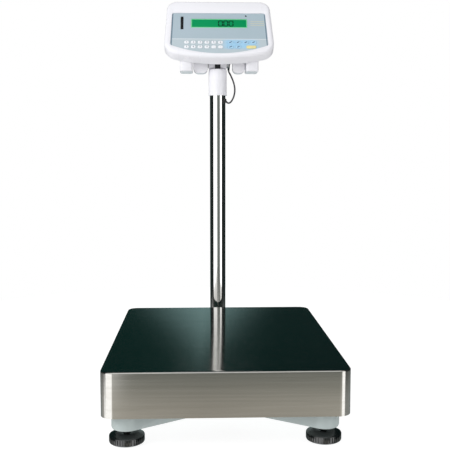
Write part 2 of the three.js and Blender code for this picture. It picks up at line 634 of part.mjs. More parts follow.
function tiltLug() {
  const half = LUG_WIDTH / 2;
  return cut(
    join(
      box(-half, half, COLUMN_Y - LUG_RADIUS, COLUMN_Y + LUG_RADIUS, COLLAR_TOP - LUG_TANG, PIVOT_Z),
      rodX(LUG_RADIUS, -half, half, COLUMN_Y, PIVOT_Z),
    ),
    rodX(BOLT_RADIUS + HOLE_CLEARANCE, -half - PAST, half + PAST, COLUMN_Y, PIVOT_Z),
  );
}

function tiltBolt() {
  const seat = KNUCKLE_END + TOUCH;
  return join(
    rodX(BOLT_RADIUS, -seat - PAST, seat + PAST, COLUMN_Y, PIVOT_Z),
    rodX(BOLT_HEAD_RADIUS, -seat - BOLT_HEAD_HEIGHT, -seat, COLUMN_Y, PIVOT_Z, 16),
    rodX(BOLT_HEAD_RADIUS, seat, seat + BOLT_HEAD_HEIGHT, COLUMN_Y, PIVOT_Z, 6),
  );
}

function cheek({ inner, outer }) {
  const width = Math.abs(outer - inner);
  const top = PIVOT_Z + SADDLE_TOP - PAST;
  const bottom = PIVOT_Z - CHEEK_BOTTOM;
  const middle = (inner + outer) / 2;
  const outline = roundedRect(width, top - bottom, CHEEK_ROUND, middle, (top + bottom) / 2);
  const stand = (y) => outline.map((p) => new THREE.Vector3(p.x, y, p.y));
  const half = CHEEK_DEPTH / 2;
  return join(
    loft([stand(COLUMN_Y + half), stand(COLUMN_Y - half)]),
    box(middle - width / 2, middle + width / 2, COLUMN_Y - half, COLUMN_Y + half,
      (top + bottom) / 2, top),
  );
}

function knuckle(side) {
  const inner = LUG_WIDTH / 2 + SIDE_CLEARANCE;
  const [x0, x1] = [side * inner, side * KNUCKLE_END].sort((a, b) => a - b);
  return join(
    rodX(KNUCKLE_RADIUS, x0, x1, COLUMN_Y, PIVOT_Z),
    box(x0, x1, COLUMN_Y - KNUCKLE_RADIUS, COLUMN_Y + KNUCKLE_RADIUS, PIVOT_Z, PIVOT_Z + SADDLE_TOP - PAST),
  );
}

function tiltSaddle() {
  const top = PIVOT_Z + SADDLE_TOP;
  const half = SADDLE_DEPTH / 2;
  const plate = box(SADDLE_LEFT, SADDLE_RIGHT, COLUMN_Y - half, COLUMN_Y + half, top - SADDLE_PLATE, top);
  const headPocket = KNUCKLE_END + BOLT_HEAD_HEIGHT + 2 * PAST;
  return cut(
    join(plate, ...CHEEKS.map(cheek), knuckle(1), knuckle(-1)),
    rodX(BOLT_RADIUS + HOLE_CLEARANCE, -KNUCKLE_END - PAST, KNUCKLE_END + PAST, COLUMN_Y, PIVOT_Z),
    rodX(BOLT_HEAD_RADIUS + PAST, -headPocket, -KNUCKLE_END, COLUMN_Y, PIVOT_Z),
    rod(BOOT_RADIUS + HOLE_CLEARANCE, top - SADDLE_PLATE - PAST, top + PAST, BOOT_X, BOOT_Y, 20),
  );
}

function leadConnector() {
  return turned([
    [0, BOOT_BOTTOM], [2.4, BOOT_BOTTOM], [3.6, BOOT_BOTTOM + 12], [BOOT_RADIUS, BOOT_BOTTOM + 14],
    [BOOT_RADIUS, BOOT_TOP], [0, BOOT_TOP],
  ], BOOT_X, BOOT_Y, 24);
}

// A cord of round section along a smooth curve through its route.
function cord(route, radius, sides, steps) {
  const section = new THREE.Shape();
  section.absarc(0, 0, radius, 0, 2 * Math.PI);
  const points = route.map((p) => new THREE.Vector3(...p));
  const extrudePath = new THREE.CatmullRomCurve3(points, false, 'centripetal');
  extrudePath.arcLengthDivisions = 400;
  return solid(new THREE.ExtrudeGeometry(section, {
    steps, curveSegments: sides / 2, bevelEnabled: false, extrudePath,
  }));
}

// ---------- Indicator head ----------
// The head's own frame stands upright at the foot of the face; the face's frame lies in the face, with
// X across, Y up the slope and Z out of it.
const head = new THREE.Group();
head.position.set(FACE_X, FACE_Y, FACE_Z);
scale.add(head);
const face = new THREE.Group();
face.rotation.x = radians(90 - FACE_TILT);
head.add(face);

const keyRow = ({ first, pitch, width }, count, v) =>
  Array.from({ length: count }, (_, i) => ({ u: first + i * pitch, v, width }));
const numberKeys = KEY_ROWS.flatMap((v) => keyRow(NUMBER_KEY, NUMBER_KEY.count, v));
const functionKeys = KEY_ROWS.flatMap((v, row) => keyRow(FUNCTION_KEY, FUNCTION_KEY.counts[row], v));
const wideKey = { u: WIDE_KEY.u, v: KEY_ROWS[1], width: WIDE_KEY.width };

const keyOutline = (key, grow) => roundedRect(
  key.width + 2 * grow, KEY_HEIGHT + 2 * grow, KEY_HEIGHT / 2 - 0.4 + grow, key.u, key.v, 2);

function windowBox({ u, v, width, height }, grow, z0, z1) {
  const halfWidth = width / 2 + grow;
  const halfHeight = height / 2 + grow;
  return box(u - halfWidth, u + halfWidth, v - halfHeight, v + halfHeight, z0, z1);
}

function faceHoles(front, back) {
  const grow = SIDE_CLEARANCE;
  return [
    ...[...numberKeys, ...functionKeys, wideKey].map((key) => prism(keyOutline(key, grow), back, front)),
    windowBox(DISPLAY, grow, back, front),
    windowBox(LIGHT_BAR, grow, back, front),
  ];
}

function keyCap(key) {
  return loft([
    raised(keyOutline(key, 0), -KEY_BOTTOM),
    raised(keyOutline(key, 0), KEY_PROUD - FASCIA_SUNK - KEY_EDGE),
    raised(keyOutline(key, -KEY_EDGE), KEY_PROUD - FASCIA_SUNK),
  ]);
}

function caseFront() {
  const rings = [raised(bowedOutline(CASE_OUTLINE), -FRONT_DEPTH)];
  for (let i = 0; i <= 3; i += 1) {
    const angle = radians(30 * i);
    const inset = CASE_EDGE * (1 - Math.cos(angle));
    rings.push(raised(bowedOutline(CASE_OUTLINE, inset), -CASE_EDGE * (1 - Math.sin(angle))));
  }
  const shell = cut(
    loft(rings),
    prism(bowedOutline(CASE_OUTLINE, CASE_WALL), -FRONT_DEPTH - PAST, -FACE_PLATE),
    prism(bowedOutline(FASCIA_OUTLINE, -SIDE_CLEARANCE), -FLOOR_FRONT, PAST),
  );
  const bosses = [-1, 1].flatMap((side) => [BOARD.bottom + 6, BOARD.top - 6].map((v) =>
    rod(BOSS_RADIUS, TOUCH - BOARD_FRONT, PAST - FACE_PLATE, side * (BOARD.halfWidth - 6), v, 16)));
  return cut(join(shell, ...bosses), ...faceHoles(PAST, -BOARD_FRONT));
}

function fascia() {
  const plate = prism(bowedOutline(FASCIA_OUTLINE), -FASCIA_SUNK - FASCIA_SHEET, -FASCIA_SUNK);
  return cut(plate, ...faceHoles(PAST, -FACE_PLATE));
}

function displayModule() {
  return join(
    windowBox(DISPLAY, 0, TOUCH - BOARD_FRONT, -FASCIA_SUNK - 0.4),
    windowBox(DISPLAY, DISPLAY_RIM, TOUCH - BOARD_FRONT, -FACE_PLATE - TOUCH),
  );
}

const limitLightBar = () => windowBox(LIGHT_BAR, 0, TOUCH - BOARD_FRONT, 0.2 - FASCIA_SUNK);
const circuitBoard = () => box(-BOARD.halfWidth, BOARD.halfWidth, BOARD.bottom, BOARD.top,
  -BOARD_FRONT - BOARD.thickness, -BOARD_FRONT);

// The half of space in front of the parting plane, as a large block in the head's frame.
function aheadOfParting() {
  const block = box(-REAR_REACH, REAR_REACH, -REAR_REACH, REAR_REACH, -FRONT_DEPTH - TOUCH, REAR_REACH);
  return block.rotate([90 - FACE_TILT, 0, 0]);
}

// What lies straight behind the front shell's outline, in the head's frame.
function behindFront(inset) {
  const block = prism(bowedOutline(CASE_OUTLINE, inset), -REAR_REACH, 0);
  return block.rotate([90 - FACE_TILT, 0, 0]);
}

// The rear shell draws in towards the back, its back edge is rounded, and it stays behind the front shell.
function rearBody(wall) {
  const ring = (inset, y) =>
    bowedOutline(REAR_OUTLINE, inset + wall).map((p) => new THREE.Vector3(p.x, y, p.y));
  const back = REAR_BACK - wall;
  const edge = REAR_EDGE - wall;
  const rings = [ring(0, REAR_FRONT), ring(REAR_DRAFT, back - edge)];
  for (let i = 1; i <= 3; i += 1) {
    const angle = radians(30 * i);
    rings.push(ring(REAR_DRAFT + edge * (1 - Math.cos(angle)), back - edge * (1 - Math.sin(angle))));
  }
  return loft(rings.reverse()).intersect(behindFront(REAR_STEP + wall));
}

function leg(side) {
  const outline = (inset) => roundedRect(LEG_WIDTH - 2 * inset, LEG_DEPTH - 2 * inset, LEG_CORNER - inset,
    side * LEG_X, LEG_FRONT + LEG_DEPTH / 2);
  return loft([
    raised(outline(1.5), LEG_BOTTOM), raised(outline(0), LEG_BOTTOM + 1.5), raised(outline(0), 0),
  ]);
}

function caseRear() {
  const pivotY = COLUMN_Y - FACE_Y;
  const ceiling = SADDLE_TOP - FACE_RISE + TOUCH;
  const around = POCKET_CLEARANCE;
  const pocket = (grow) => box(
    SADDLE_LEFT - FACE_X - around - grow, SADDLE_RIGHT - FACE_X + around + grow,
    pivotY - SADDLE_DEPTH / 2 - 2 * around - grow, pivotY + SADDLE_DEPTH / 2 + 2 * around + grow,
    LEG_BOTTOM - PAST, ceiling + grow);
  return cut(
    join(rearBody(0), leg(1), leg(-1)),
    cut(rearBody(CASE_WALL), pocket(CASE_WALL)),
    pocket(0),
    aheadOfParting(),
    rod(BOOT_RADIUS + HOLE_CLEARANCE, ceiling - PAST, ceiling + CASE_WALL + PAST, BOOT_X - FACE_X,
      pivotY + BOOT_BACK, 20),
    rodY(INLET_RADIUS + HOLE_CLEARANCE, REAR_BACK - INLET_DEPTH, REAR_BACK + PAST, INLET_X, INLET_Z),
  );
}

function powerInlet() {
  const seat = REAR_BACK + TOUCH;
  return cut(
    join(
      rodY(INLET_RADIUS, seat - INLET_DEPTH, seat + INLET_FLANGE / 2, INLET_X, INLET_Z),
      rodY(INLET_RADIUS + 2, seat, seat + INLET_FLANGE, INLET_X, INLET_Z),
    ),
    rodY(INLET_RADIUS - 2, seat - INLET_DEPTH + 3, seat + 2 * PAST, INLET_X, INLET_Z),
  );
}

// ---------- Assembly ----------
add('weighing_pan', weighingPan(), STAINLESS);
add('base_casting', baseCasting(), GREY_PAINT);
for (const [corner, sx, sy] of CORNERS) {
  add(`levelling_foot_${corner}`, levellingFoot(sx, sy), BLACK_PLASTIC);
  add(`foot_pad_${corner}`, footPad(sx, sy), RUBBER);
  add(`pan_buffer_${corner}`, panBuffer(sx, sy), RUBBER);
}
add('load_cell', loadCell(), ALUMINIUM);
add('cell_lower_spacer', spacer(1, DECK_TOP + TOUCH), STEEL);
add('cell_upper_spacer', spacer(-1, CELL_TOP + TOUCH), STEEL);
cellBoltPlaces(1).forEach(([x, y], i) => {
  add(`cell_lower_bolt_${i + 1}`, bolt(x, y, DECK_BOTTOM - TOUCH, CELL_BOTTOM + CELL_BOLT_DEPTH), STEEL);
});
cellBoltPlaces(-1).forEach(([x, y], i) => {
  add(`cell_upper_bolt_${i + 1}`, bolt(x, y, ARM_BOTTOM + TOUCH, CELL_TOP - CELL_BOLT_DEPTH), STEEL);
});
add('pan_carrier', panCarrier(), GREY_PAINT);
add('column_bracket', columnBracket(), GREY_PAINT);
bracketBoltPlaces().forEach(([x, y], i) => {
  add(`bracket_bolt_${i + 1}`, bolt(x, y, DECK_TOP + TOUCH, CHANNEL_TOP - CHANNEL_WALL - 6), STEEL);
});
add('column_tube', columnTube(), POLISHED);
add('column_grommet', columnGrommet(), RUBBER);
add('load_cell_cable', cord(CABLE_ROUTE, CABLE_RADIUS, 8, 76), CORD);
add('indicator_lead', cord(LEAD_ROUTE, LEAD_RADIUS, 8, 30), CORD);
add('lead_connector', leadConnector(), CORD);
add('column_collar', columnCollar(), WHITE_PLASTIC);
add('tilt_lug', tiltLug(), DARK_STEEL);
add('tilt_bolt', tiltBolt(), STEEL);
add('tilt_saddle', tiltSaddle(), WHITE_PLASTIC);
add('case_rear', caseRear(), WHITE_PLASTIC, head);
add('power_inlet', powerInlet(), BLACK_PLASTIC, head);
add('case_front', caseFront(), WHITE_PLASTIC, face);
add('fascia', fascia(), FASCIA_BLUE, face);
add('display_module', displayModule(), DISPLAY_GREEN, face);
add('limit_light_bar', limitLightBar(), BLACK_PLASTIC, face);
add('circuit_board', circuitBoard(), BOARD_GREEN, face);
numberKeys.forEach((key, i) => add(`number_key_${i + 1}`, keyCap(key), KEY_WHITE, face));
functionKeys.forEach((key, i) => add(`function_key_${i + 1}`, keyCap(key), KEY_BLUE, face));
add('wide_key', keyCap(wideKey), KEY_YELLOW, face);

export default scale;
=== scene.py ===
# %% [markdown]
# # A platform scale for weighing animals
# A stainless pan rests on a cast base with four levelling feet. A polished column behind the pan carries an
# indicator head that tilts. The mechanical model is loaded first as a fixed frame, and each visible piece is
# then modelled over it with more detail and given its finish.

# %% Load the frame
import json
import math

import bmesh
import bpy
from mathutils import Matrix, Vector


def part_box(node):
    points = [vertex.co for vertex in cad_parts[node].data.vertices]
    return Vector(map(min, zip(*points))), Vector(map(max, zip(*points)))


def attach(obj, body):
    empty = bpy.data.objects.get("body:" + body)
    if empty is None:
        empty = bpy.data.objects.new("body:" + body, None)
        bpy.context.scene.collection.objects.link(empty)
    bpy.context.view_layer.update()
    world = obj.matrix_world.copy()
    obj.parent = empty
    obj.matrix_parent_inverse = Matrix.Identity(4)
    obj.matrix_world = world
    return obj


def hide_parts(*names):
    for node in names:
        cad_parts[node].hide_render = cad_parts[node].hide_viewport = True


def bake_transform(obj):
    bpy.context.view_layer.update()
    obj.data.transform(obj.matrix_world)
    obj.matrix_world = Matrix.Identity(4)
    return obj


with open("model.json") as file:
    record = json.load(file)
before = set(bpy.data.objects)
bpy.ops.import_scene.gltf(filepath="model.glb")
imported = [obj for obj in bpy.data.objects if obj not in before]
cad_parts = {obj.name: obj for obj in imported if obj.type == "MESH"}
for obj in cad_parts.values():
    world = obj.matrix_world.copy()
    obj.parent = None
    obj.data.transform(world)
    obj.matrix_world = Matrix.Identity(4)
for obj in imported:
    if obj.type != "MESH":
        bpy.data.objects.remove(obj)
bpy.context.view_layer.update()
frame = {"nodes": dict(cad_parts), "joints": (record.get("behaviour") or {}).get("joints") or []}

scene = bpy.context.scene
MM = 0.001

# %% [markdown]
# Places are read from the frame: the middle of the pan, the tilt axis at the top of the column and, from
# that axis, the foot of the indicator's face. The face slopes back, so it has a frame of its own with X
# across, Y up the slope and Z out of it.

# %% Places in the frame
pan_low, pan_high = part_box("weighing_pan")
pan_middle = (pan_low + pan_high) / 2
tilt_joint = next(j for j in frame["joints"] if j["name"] == "indicator_tilt")
pivot = Vector(tilt_joint["pos_m"])
FACE_TILT = math.radians(35)
face_foot = pivot + Vector((3, -50, 20.5)) * MM
face_frame = Matrix.Translation(face_foot) @ Matrix.Rotation(math.pi / 2 - FACE_TILT, 4, "X")
column_axis = Vector((pivot.x, pivot.y, 0))
print("pan middle", tuple(round(c, 4) for c in pan_middle), "pivot", tuple(round(c, 4) for c in pivot))

# %% [markdown]
# The camera stands about 1.4 m in front of the pan and a little under half a metre up, and looks down
# slightly. A long lens keeps the perspective mild, so the column's sides stay nearly parallel.

# %% Camera
LENS_MM, SENSOR_MM = 58.94, 36
CAMERA_DOWN, CAMERA_TURN = math.radians(5.264), math.radians(-1.99)
camera_data = bpy.data.cameras.new("camera")
camera_data.lens = LENS_MM
camera_data.sensor_width = SENSOR_MM
camera_data.clip_start = 0.05
camera = bpy.data.objects.new("camera", camera_data)
scene.collection.objects.link(camera)
camera.location = (pan_middle.x - 0.04177, pan_middle.y - 1.37879, 0.46206)
camera.rotation_euler = (math.pi / 2 - CAMERA_DOWN, 0, CAMERA_TURN)
scene.camera = camera
print("camera at", tuple(round(c, 3) for c in camera.location))

# %% [markdown]
# Edit mode works on what is selected, and the loaded nodes are still selected. So one helper makes a piece
# the only selected one, and another picks faces by a test on their middle and normal, as a hand would by
# looking.

# %% Helpers for working by hand
SAME_POINT = 1e-6


def only(obj):
    if bpy.context.mode != "OBJECT":
        bpy.ops.object.mode_set(mode="OBJECT")
    bpy.ops.object.select_all(action="DESELECT")
    obj.select_set(True)
    bpy.context.view_layer.objects.active = obj
    return obj


def edit(obj):
    only(obj)
    bpy.ops.object.mode_set(mode="EDIT")
    bpy.ops.mesh.select_mode(type="FACE")
    bpy.ops.mesh.select_all(action="SELECT")


def done():
    bpy.ops.object.mode_set(mode="OBJECT")


def pick_faces(obj, test):
    bpy.ops.mesh.select_mode(type="FACE")
    bpy.ops.mesh.select_all(action="DESELECT")
    mesh = bmesh.from_edit_mesh(obj.data)
    for face in mesh.faces:
        face.select_set(test(face.calc_center_median(), face.normal))
    bmesh.update_edit_mesh(obj.data)


def pick_edges(obj, test):
    bpy.ops.mesh.select_mode(type="EDGE")
    bpy.ops.mesh.select_all(action="DESELECT")
    mesh = bmesh.from_edit_mesh(obj.data)
    for edge in mesh.edges:
        edge.select_set(test(edge.verts[0].co, edge.verts[1].co))
    bmesh.update_edit_mesh(obj.data)


def named(name):
    obj = bpy.context.object
    obj.name = name
    obj.data.name = name
    return obj


def apply_modifier(obj, kind, **settings):
    only(obj)
    modifier = obj.modifiers.new(kind.lower(), kind)
    for key, value in settings.items():
        setattr(modifier, key, value)
    bpy.ops.object.modifier_apply(modifier=modifier.name)


def place(obj, matrix=None):
    only(obj)
    if matrix is not None:
        obj.matrix_world = matrix @ obj.matrix_world
    bpy.ops.object.transform_apply(location=True, rotation=True, scale=True)


def tidy(obj, angle=35):
    edit(obj)
    bpy.ops.mesh.remove_doubles(threshold=SAME_POINT)
    bpy.ops.mesh.normals_make_consistent(inside=False)
    done()
    bpy.ops.object.shade_smooth_by_angle(angle=math.radians(angle))
    return obj


def copied(obj, name, offset=(0, 0, 0)):
    twin = bpy.data.objects.new(name, obj.data.copy())
    twin.data.name = name
    scene.collection.objects.link(twin)
    twin.data.transform(Matrix.Translation(offset))
    return twin


print("helpers ready")

# %% [markdown]
# A round piece could be spun from a profile or built up from a disc. Building up keeps every ring in sight:
# the disc is extruded to the next height and resized to the next radius, again and again. A profile that
# turns back inwards and down makes a blind hole in the same way.

# %% Turned pieces
def built_up(name, profile, x=0.0, y=0.0, sides=96):
    (radius, height), *steps = profile
    bpy.ops.object.select_all(action="DESELECT")
    bpy.ops.mesh.primitive_circle_add(
        vertices=sides, radius=radius * MM, fill_type="NGON", location=(x, y, height * MM))
    obj = named(name)
    place(obj)
    edit(obj)
    for next_radius, next_height in steps:
        bpy.ops.mesh.extrude_region_move(
            TRANSFORM_OT_translate={"value": (0, 0, (next_height - height) * MM)})
        grow = next_radius / radius
        bpy.ops.transform.resize(value=(grow, grow, 1), center_override=(x, y, next_height * MM))
        radius, height = next_radius, next_height
    done()
    return obj


print("turned pieces are built up ring by ring")

# %% [markdown]
# A moulded plate with a bowed lower edge starts as a filled circle whose points are moved to the outline.
# It is extruded to its thickness, and its front edge is rounded with a bevel. Holes are cut with a joined
# tool, because a moulded opening has crisp walls.

# %% Outlined pieces
def arc(points, cx, cy, radius, start, end, steps):
    for i in range(steps + 1):
        angle = math.radians(start + (end - start) * i / steps)
        points.append((cx + radius * math.cos(angle), cy + radius * math.sin(angle)))


def bowed_outline(half_top, half_bottom, top, bottom, bow, top_corner, bottom_corner, inset=0.0):
    """Points in millimetres of an outline with a bowed lower edge and round corners."""
    low_r = max(bottom_corner - inset, 2)
    high_r = max(top_corner - inset, 2)
    slope = math.radians(bow)
    end_x = half_bottom - inset - low_r * (1 - math.sin(slope))
    rise = end_x * math.tan(slope) / 2
    low = bottom + inset
    corner_x = end_x - low_r * math.sin(slope)
    corner_y = low + rise + low_r * math.cos(slope)
    top_x = half_top - inset - high_r
    top_y = top - inset - high_r
    points = [(end_x * i / 24, low + rise * (i / 24) ** 2) for i in range(-23, 24)]
    arc(points, corner_x, corner_y, low_r, bow - 90, 0, 16)
    arc(points, top_x, top_y, high_r, 0, 90, 14)
    arc(points, -top_x, top_y, high_r, 90, 180, 14)
    arc(points, -corner_x, corner_y, low_r, 180, 270 - bow, 16)
    return points


def rounded_rect(width, height, radius, x=0.0, y=0.0, steps=8):
    points = []
    for sx, sy, start in ((1, -1, -90), (1, 1, 0), (-1, 1, 90), (-1, -1, 180)):
        cx, cy = x + sx * (width / 2 - radius), y + sy * (height / 2 - radius)
        arc(points, cx, cy, radius, start, start + 90, steps)
    return points


def slab(name, points, back, front):
    """A filled circle moved to the outline and extruded from back to front, in millimetres."""
    bpy.ops.object.select_all(action="DESELECT")
    bpy.ops.mesh.primitive_circle_add(vertices=len(points), radius=MM, fill_type="NGON")
    obj = named(name)
    for vertex, (px, py) in zip(obj.data.vertices, points):
        vertex.co = (px * MM, py * MM, back * MM)
    edit(obj)
    bpy.ops.mesh.extrude_region_move(TRANSFORM_OT_translate={"value": (0, 0, (front - back) * MM)})
    bpy.ops.mesh.select_all(action="SELECT")
    bpy.ops.mesh.normals_make_consistent(inside=False)
    done()
    return obj


def round_rim(obj, height, radius, segments):
    """Rounds the edge that runs round the piece at this height, in millimetres."""
    edit(obj)
    level = height * MM
    pick_edges(obj, lambda a, b: abs(a.z - level) < 1e-7 and abs(b.z - level) < 1e-7)
    bpy.ops.mesh.bevel(offset=radius * MM, segments=segments, affect="EDGES", clamp_overlap=False)
    done()
    return obj


def carve(obj, *tools):
    for tool in tools:
        apply_modifier(obj, "BOOLEAN", operation="DIFFERENCE", solver="EXACT", object=tool)
        bpy.data.objects.remove(tool)


def joined(name, pieces):
    only(pieces[0])
    for piece in pieces:
        piece.select_set(True)
    bpy.ops.object.join()
    return named(name)


print("outline helpers ready")

# %% [markdown]
# Castings and small fittings already have their true shape in the frame. Each gets a copy whose loose
# triangles are merged and whose flat faces are made whole again, and then every sharp edge is broken by a
# narrow bevel, as a mould or a file would. A flat face with holes in it stays in its triangles, because one
# face can't go round a hole.

# %% Refined copies
def refined(node_name, name, bevel=0.5, angle=30, whole=True):
    source = frame["nodes"][node_name]
    obj = bpy.data.objects.new(name, source.data.copy())
    obj.data.name = name
    obj.data.materials.clear()
    scene.collection.objects.link(obj)
    edit(obj)
    bpy.ops.mesh.remove_doubles(threshold=SAME_POINT)
    if whole:
        bpy.ops.mesh.dissolve_limited(angle_limit=math.radians(0.5))
    done()
    apply_modifier(obj, "BEVEL", width=bevel * MM, segments=2, limit_method="ANGLE",
                   angle_limit=math.radians(angle), use_clamp_overlap=True)
    only(obj)
    bpy.ops.object.shade_smooth_by_angle(angle=math.radians(angle))
    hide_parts(node_name)
    return obj


def coated(obj, material):
    obj.data.materials.clear()
    obj.data.materials.append(material)


def finished(obj, body, material, node_name=None):
    """Gives a piece its finish and its body, and hides the node that it stands for."""
    if node_name:
        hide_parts(node_name)
    coated(obj, material)
    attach(obj, body)
    print(f"{obj.name}: {len(obj.data.polygons)} faces on {body}")


print("refined copies keep the place of the node they stand for")

# %% [markdown]
# Four effects come back in many finishes, so each is a node group: a fine grain, drawn or brushed lines,
# soft smudges, and dust that settles on what faces up. A group only gives masks and heights, and each
# finish decides what to do with them.

# %% Shared effects
def new_group(name, inputs, outputs):
    group = bpy.data.node_groups.new(name, "ShaderNodeTree")
    for title, kind, value in inputs:
        socket = group.interface.new_socket(title, in_out="INPUT", socket_type=kind)
        if value is not None:
            socket.default_value = value
    for title, kind in outputs:
        group.interface.new_socket(title, in_out="OUTPUT", socket_type=kind)
    start = group.nodes.new("NodeGroupInput")
    end = group.nodes.new("NodeGroupOutput")
    return group, start, end


def node(tree, kind, links=(), **settings):
    """A node with its settings, and with links given as (input, source socket or value)."""
    made = tree.nodes.new(kind)
    for key, value in settings.items():
        setattr(made, key, value)
    for key, source in links:
        if isinstance(source, bpy.types.NodeSocket):
            tree.links.new(source, made.inputs[key])
        else:
            made.inputs[key].default_value = source
    return made


def calc(tree, operation, *values):
    """One step of arithmetic on sockets or numbers."""
    return node(tree, "ShaderNodeMath", enumerate(values), operation=operation).outputs[0]


def ramped(tree, value, low, high, start=0.0, end=1.0):
    """Goes from start to end as the value goes from low to high."""
    return node(tree, "ShaderNodeMapRange", [
        ("Value", value), ("From Min", low), ("From Max", high), ("To Min", start), ("To Max", end),
    ]).outputs["Result"]


def mixed(tree, factor, first, second):
    """One colour over another, each a socket or three numbers."""
    mix = node(tree, "ShaderNodeMix", data_type="RGBA")
    colors = [s for s in mix.inputs if s.type == "RGBA"]
    tree.links.new(factor, mix.inputs["Factor"])
    for socket, source in zip(colors, (first, second)):
        if isinstance(source, bpy.types.NodeSocket):
            tree.links.new(source, socket)
        else:
            socket.default_value = source + (1,)
    return mix.outputs[2]


def mask_of(tree, group, place_of, **inputs):
    """A shared effect laid on the surface, with its values."""
    links = [("Vector", place_of), *inputs.items()]
    return node(tree, "ShaderNodeGroup", links, node_tree=group).outputs["Mask"]


def noise_group(name, stretch, detail):
    group, start, end = new_group(
        name,
        [("Vector", "NodeSocketVector", None), ("Scale", "NodeSocketFloat", 100.0)],
        [("Mask", "NodeSocketFloat")])
    mapping = node(group, "ShaderNodeMapping", [("Vector", start.outputs["Vector"]), ("Scale", stretch)])
    noise = node(group, "ShaderNodeTexNoise",
                 [("Vector", mapping.outputs["Vector"]), ("Scale", start.outputs["Scale"]),
                  ("Detail", detail), ("Roughness", 0.6)])
    group.links.new(noise.outputs["Fac"], end.inputs["Mask"])
    return group


def dust_group():
    group, start, end = new_group(
        "settled_dust",
        [("Vector", "NodeSocketVector", None), ("Amount", "NodeSocketFloat", 0.2)],
        [("Mask", "NodeSocketFloat")])
    geometry = node(group, "ShaderNodeNewGeometry")
    parts = node(group, "ShaderNodeSeparateXYZ", [("Vector", geometry.outputs["Normal"])])
    up = ramped(group, parts.outputs["Z"], 0.3, 1.0)
    noise = node(group, "ShaderNodeTexNoise",
                 [("Vector", start.outputs["Vector"]), ("Scale", 60.0), ("Detail", 4.0)])
    settled = calc(group, "MULTIPLY", up, ramped(group, noise.outputs["Fac"], 0.35, 0.75))
    group.links.new(calc(group, "MULTIPLY", settled, start.outputs["Amount"]), end.inputs["Mask"])
    return group


grain = noise_group("fine_grain", (1, 1, 1), 3.0)
lines_across = noise_group("lines_across", (0.02, 1, 1), 4.0)
lines_upright = noise_group("lines_upright", (1, 1, 0.01), 3.0)
smudges = noise_group("smudges", (1, 1, 1), 5.0)
dust = dust_group()
print("node groups:", [g.name for g in bpy.data.node_groups])

# %% [markdown]
# Every finish starts from the same plan: a base colour that drifts a little, a roughness that drifts with
# it, and a height that tilts the surface. The plan is one function with a value for each, so that a finish
# reads as a short list of choices.

# %% The plan of a finish
SMUDGE_SCALE = 14.0
DUST_COLOR = (0.55, 0.53, 0.5)


def new_material(name):
    material = bpy.data.materials.new(name)
    material.use_nodes = True
    tree = material.node_tree
    return material, tree, tree.nodes["Principled BSDF"], node(tree, "ShaderNodeTexCoord").outputs["Object"]


def surface(name, color, roughness, vary=0.04, rough_vary=0.06, metallic=0.0, scale=900.0, bump=0.02,
            pattern=None, dusty=0.0, **sockets):
    material, tree, shader, place_of = new_material(name)
    fine = mask_of(tree, pattern or grain, place_of, Scale=scale)
    broad = mask_of(tree, smudges, place_of, Scale=SMUDGE_SCALE)
    darker = tuple(c * (1 - vary) for c in color)
    lighter = tuple(min(1, c * (1 + vary)) for c in color)
    tint = mixed(tree, fine, darker, lighter)
    if dusty:
        tint = mixed(tree, mask_of(tree, dust, place_of, Amount=dusty), tint, DUST_COLOR)
    tree.links.new(tint, shader.inputs["Base Color"])
    rough = ramped(tree, broad, 0.3, 0.7, max(0.02, roughness - rough_vary), roughness + rough_vary)
    tree.links.new(rough, shader.inputs["Roughness"])
    if bump:
        relief = node(tree, "ShaderNodeBump",
                      [("Height", fine), ("Strength", 1.0), ("Distance", bump * MM)])
        tree.links.new(relief.outputs["Normal"], shader.inputs["Normal"])
    shader.inputs["Metallic"].default_value = metallic
    for key, value in sockets.items():
        shader.inputs[key.replace("_", " ")].default_value = value
    return material


print("a finish is a colour, a roughness and a height that drift together")

# %% [markdown]
# Most finishes follow this plan as they are. The pan needs more: it is brushed across its width, and fine
# grooves spread a reflection at right angles to themselves, which a shader calls anisotropy. It needs a
# direction, and that comes from the pan's own UV map. Some grooves are rougher than others, and they make
# the soft glow beside a sharp reflection.

# %% All the finishes
def two_tone(tree, factor, first, second, start=0.0, end=1.0):
    """A colour that goes from the first to the second between two values of the factor."""
    ramp = node(tree, "ShaderNodeValToRGB", [("Fac", factor)])
    for stop, position, color in zip(ramp.color_ramp.elements, (start, end), (first, second)):
        stop.position = position
        stop.color = color + (1,)
    return ramp.outputs["Color"]


def stainless_finish():
    material, tree, shader, place_of = new_material("brushed_stainless")
    fine_lines = mask_of(tree, lines_across, place_of, Scale=900.0)
    wide_lines = mask_of(tree, lines_across, place_of, Scale=160.0)
    tone = two_tone(tree, wide_lines, (0.50, 0.49, 0.46), (0.58, 0.57, 0.545), 0.3, 0.72)
    tree.links.new(tone, shader.inputs["Base Color"])
    tree.links.new(ramped(tree, fine_lines, 0.35, 0.75, 0.13, 0.17), shader.inputs["Roughness"])
    relief = node(tree, "ShaderNodeBump",
                  [("Height", fine_lines), ("Strength", 0.25), ("Distance", 0.0008 * MM)])
    tree.links.new(relief.outputs["Normal"], shader.inputs["Normal"])
    grooves = node(tree, "ShaderNodeTangent", direction_type="UV_MAP", uv_map="brushing")
    tree.links.new(grooves.outputs["Tangent"], shader.inputs["Tangent"])
    shader.inputs["Metallic"].default_value = 1.0
    shader.inputs["Anisotropic"].default_value = 0.95
    return material


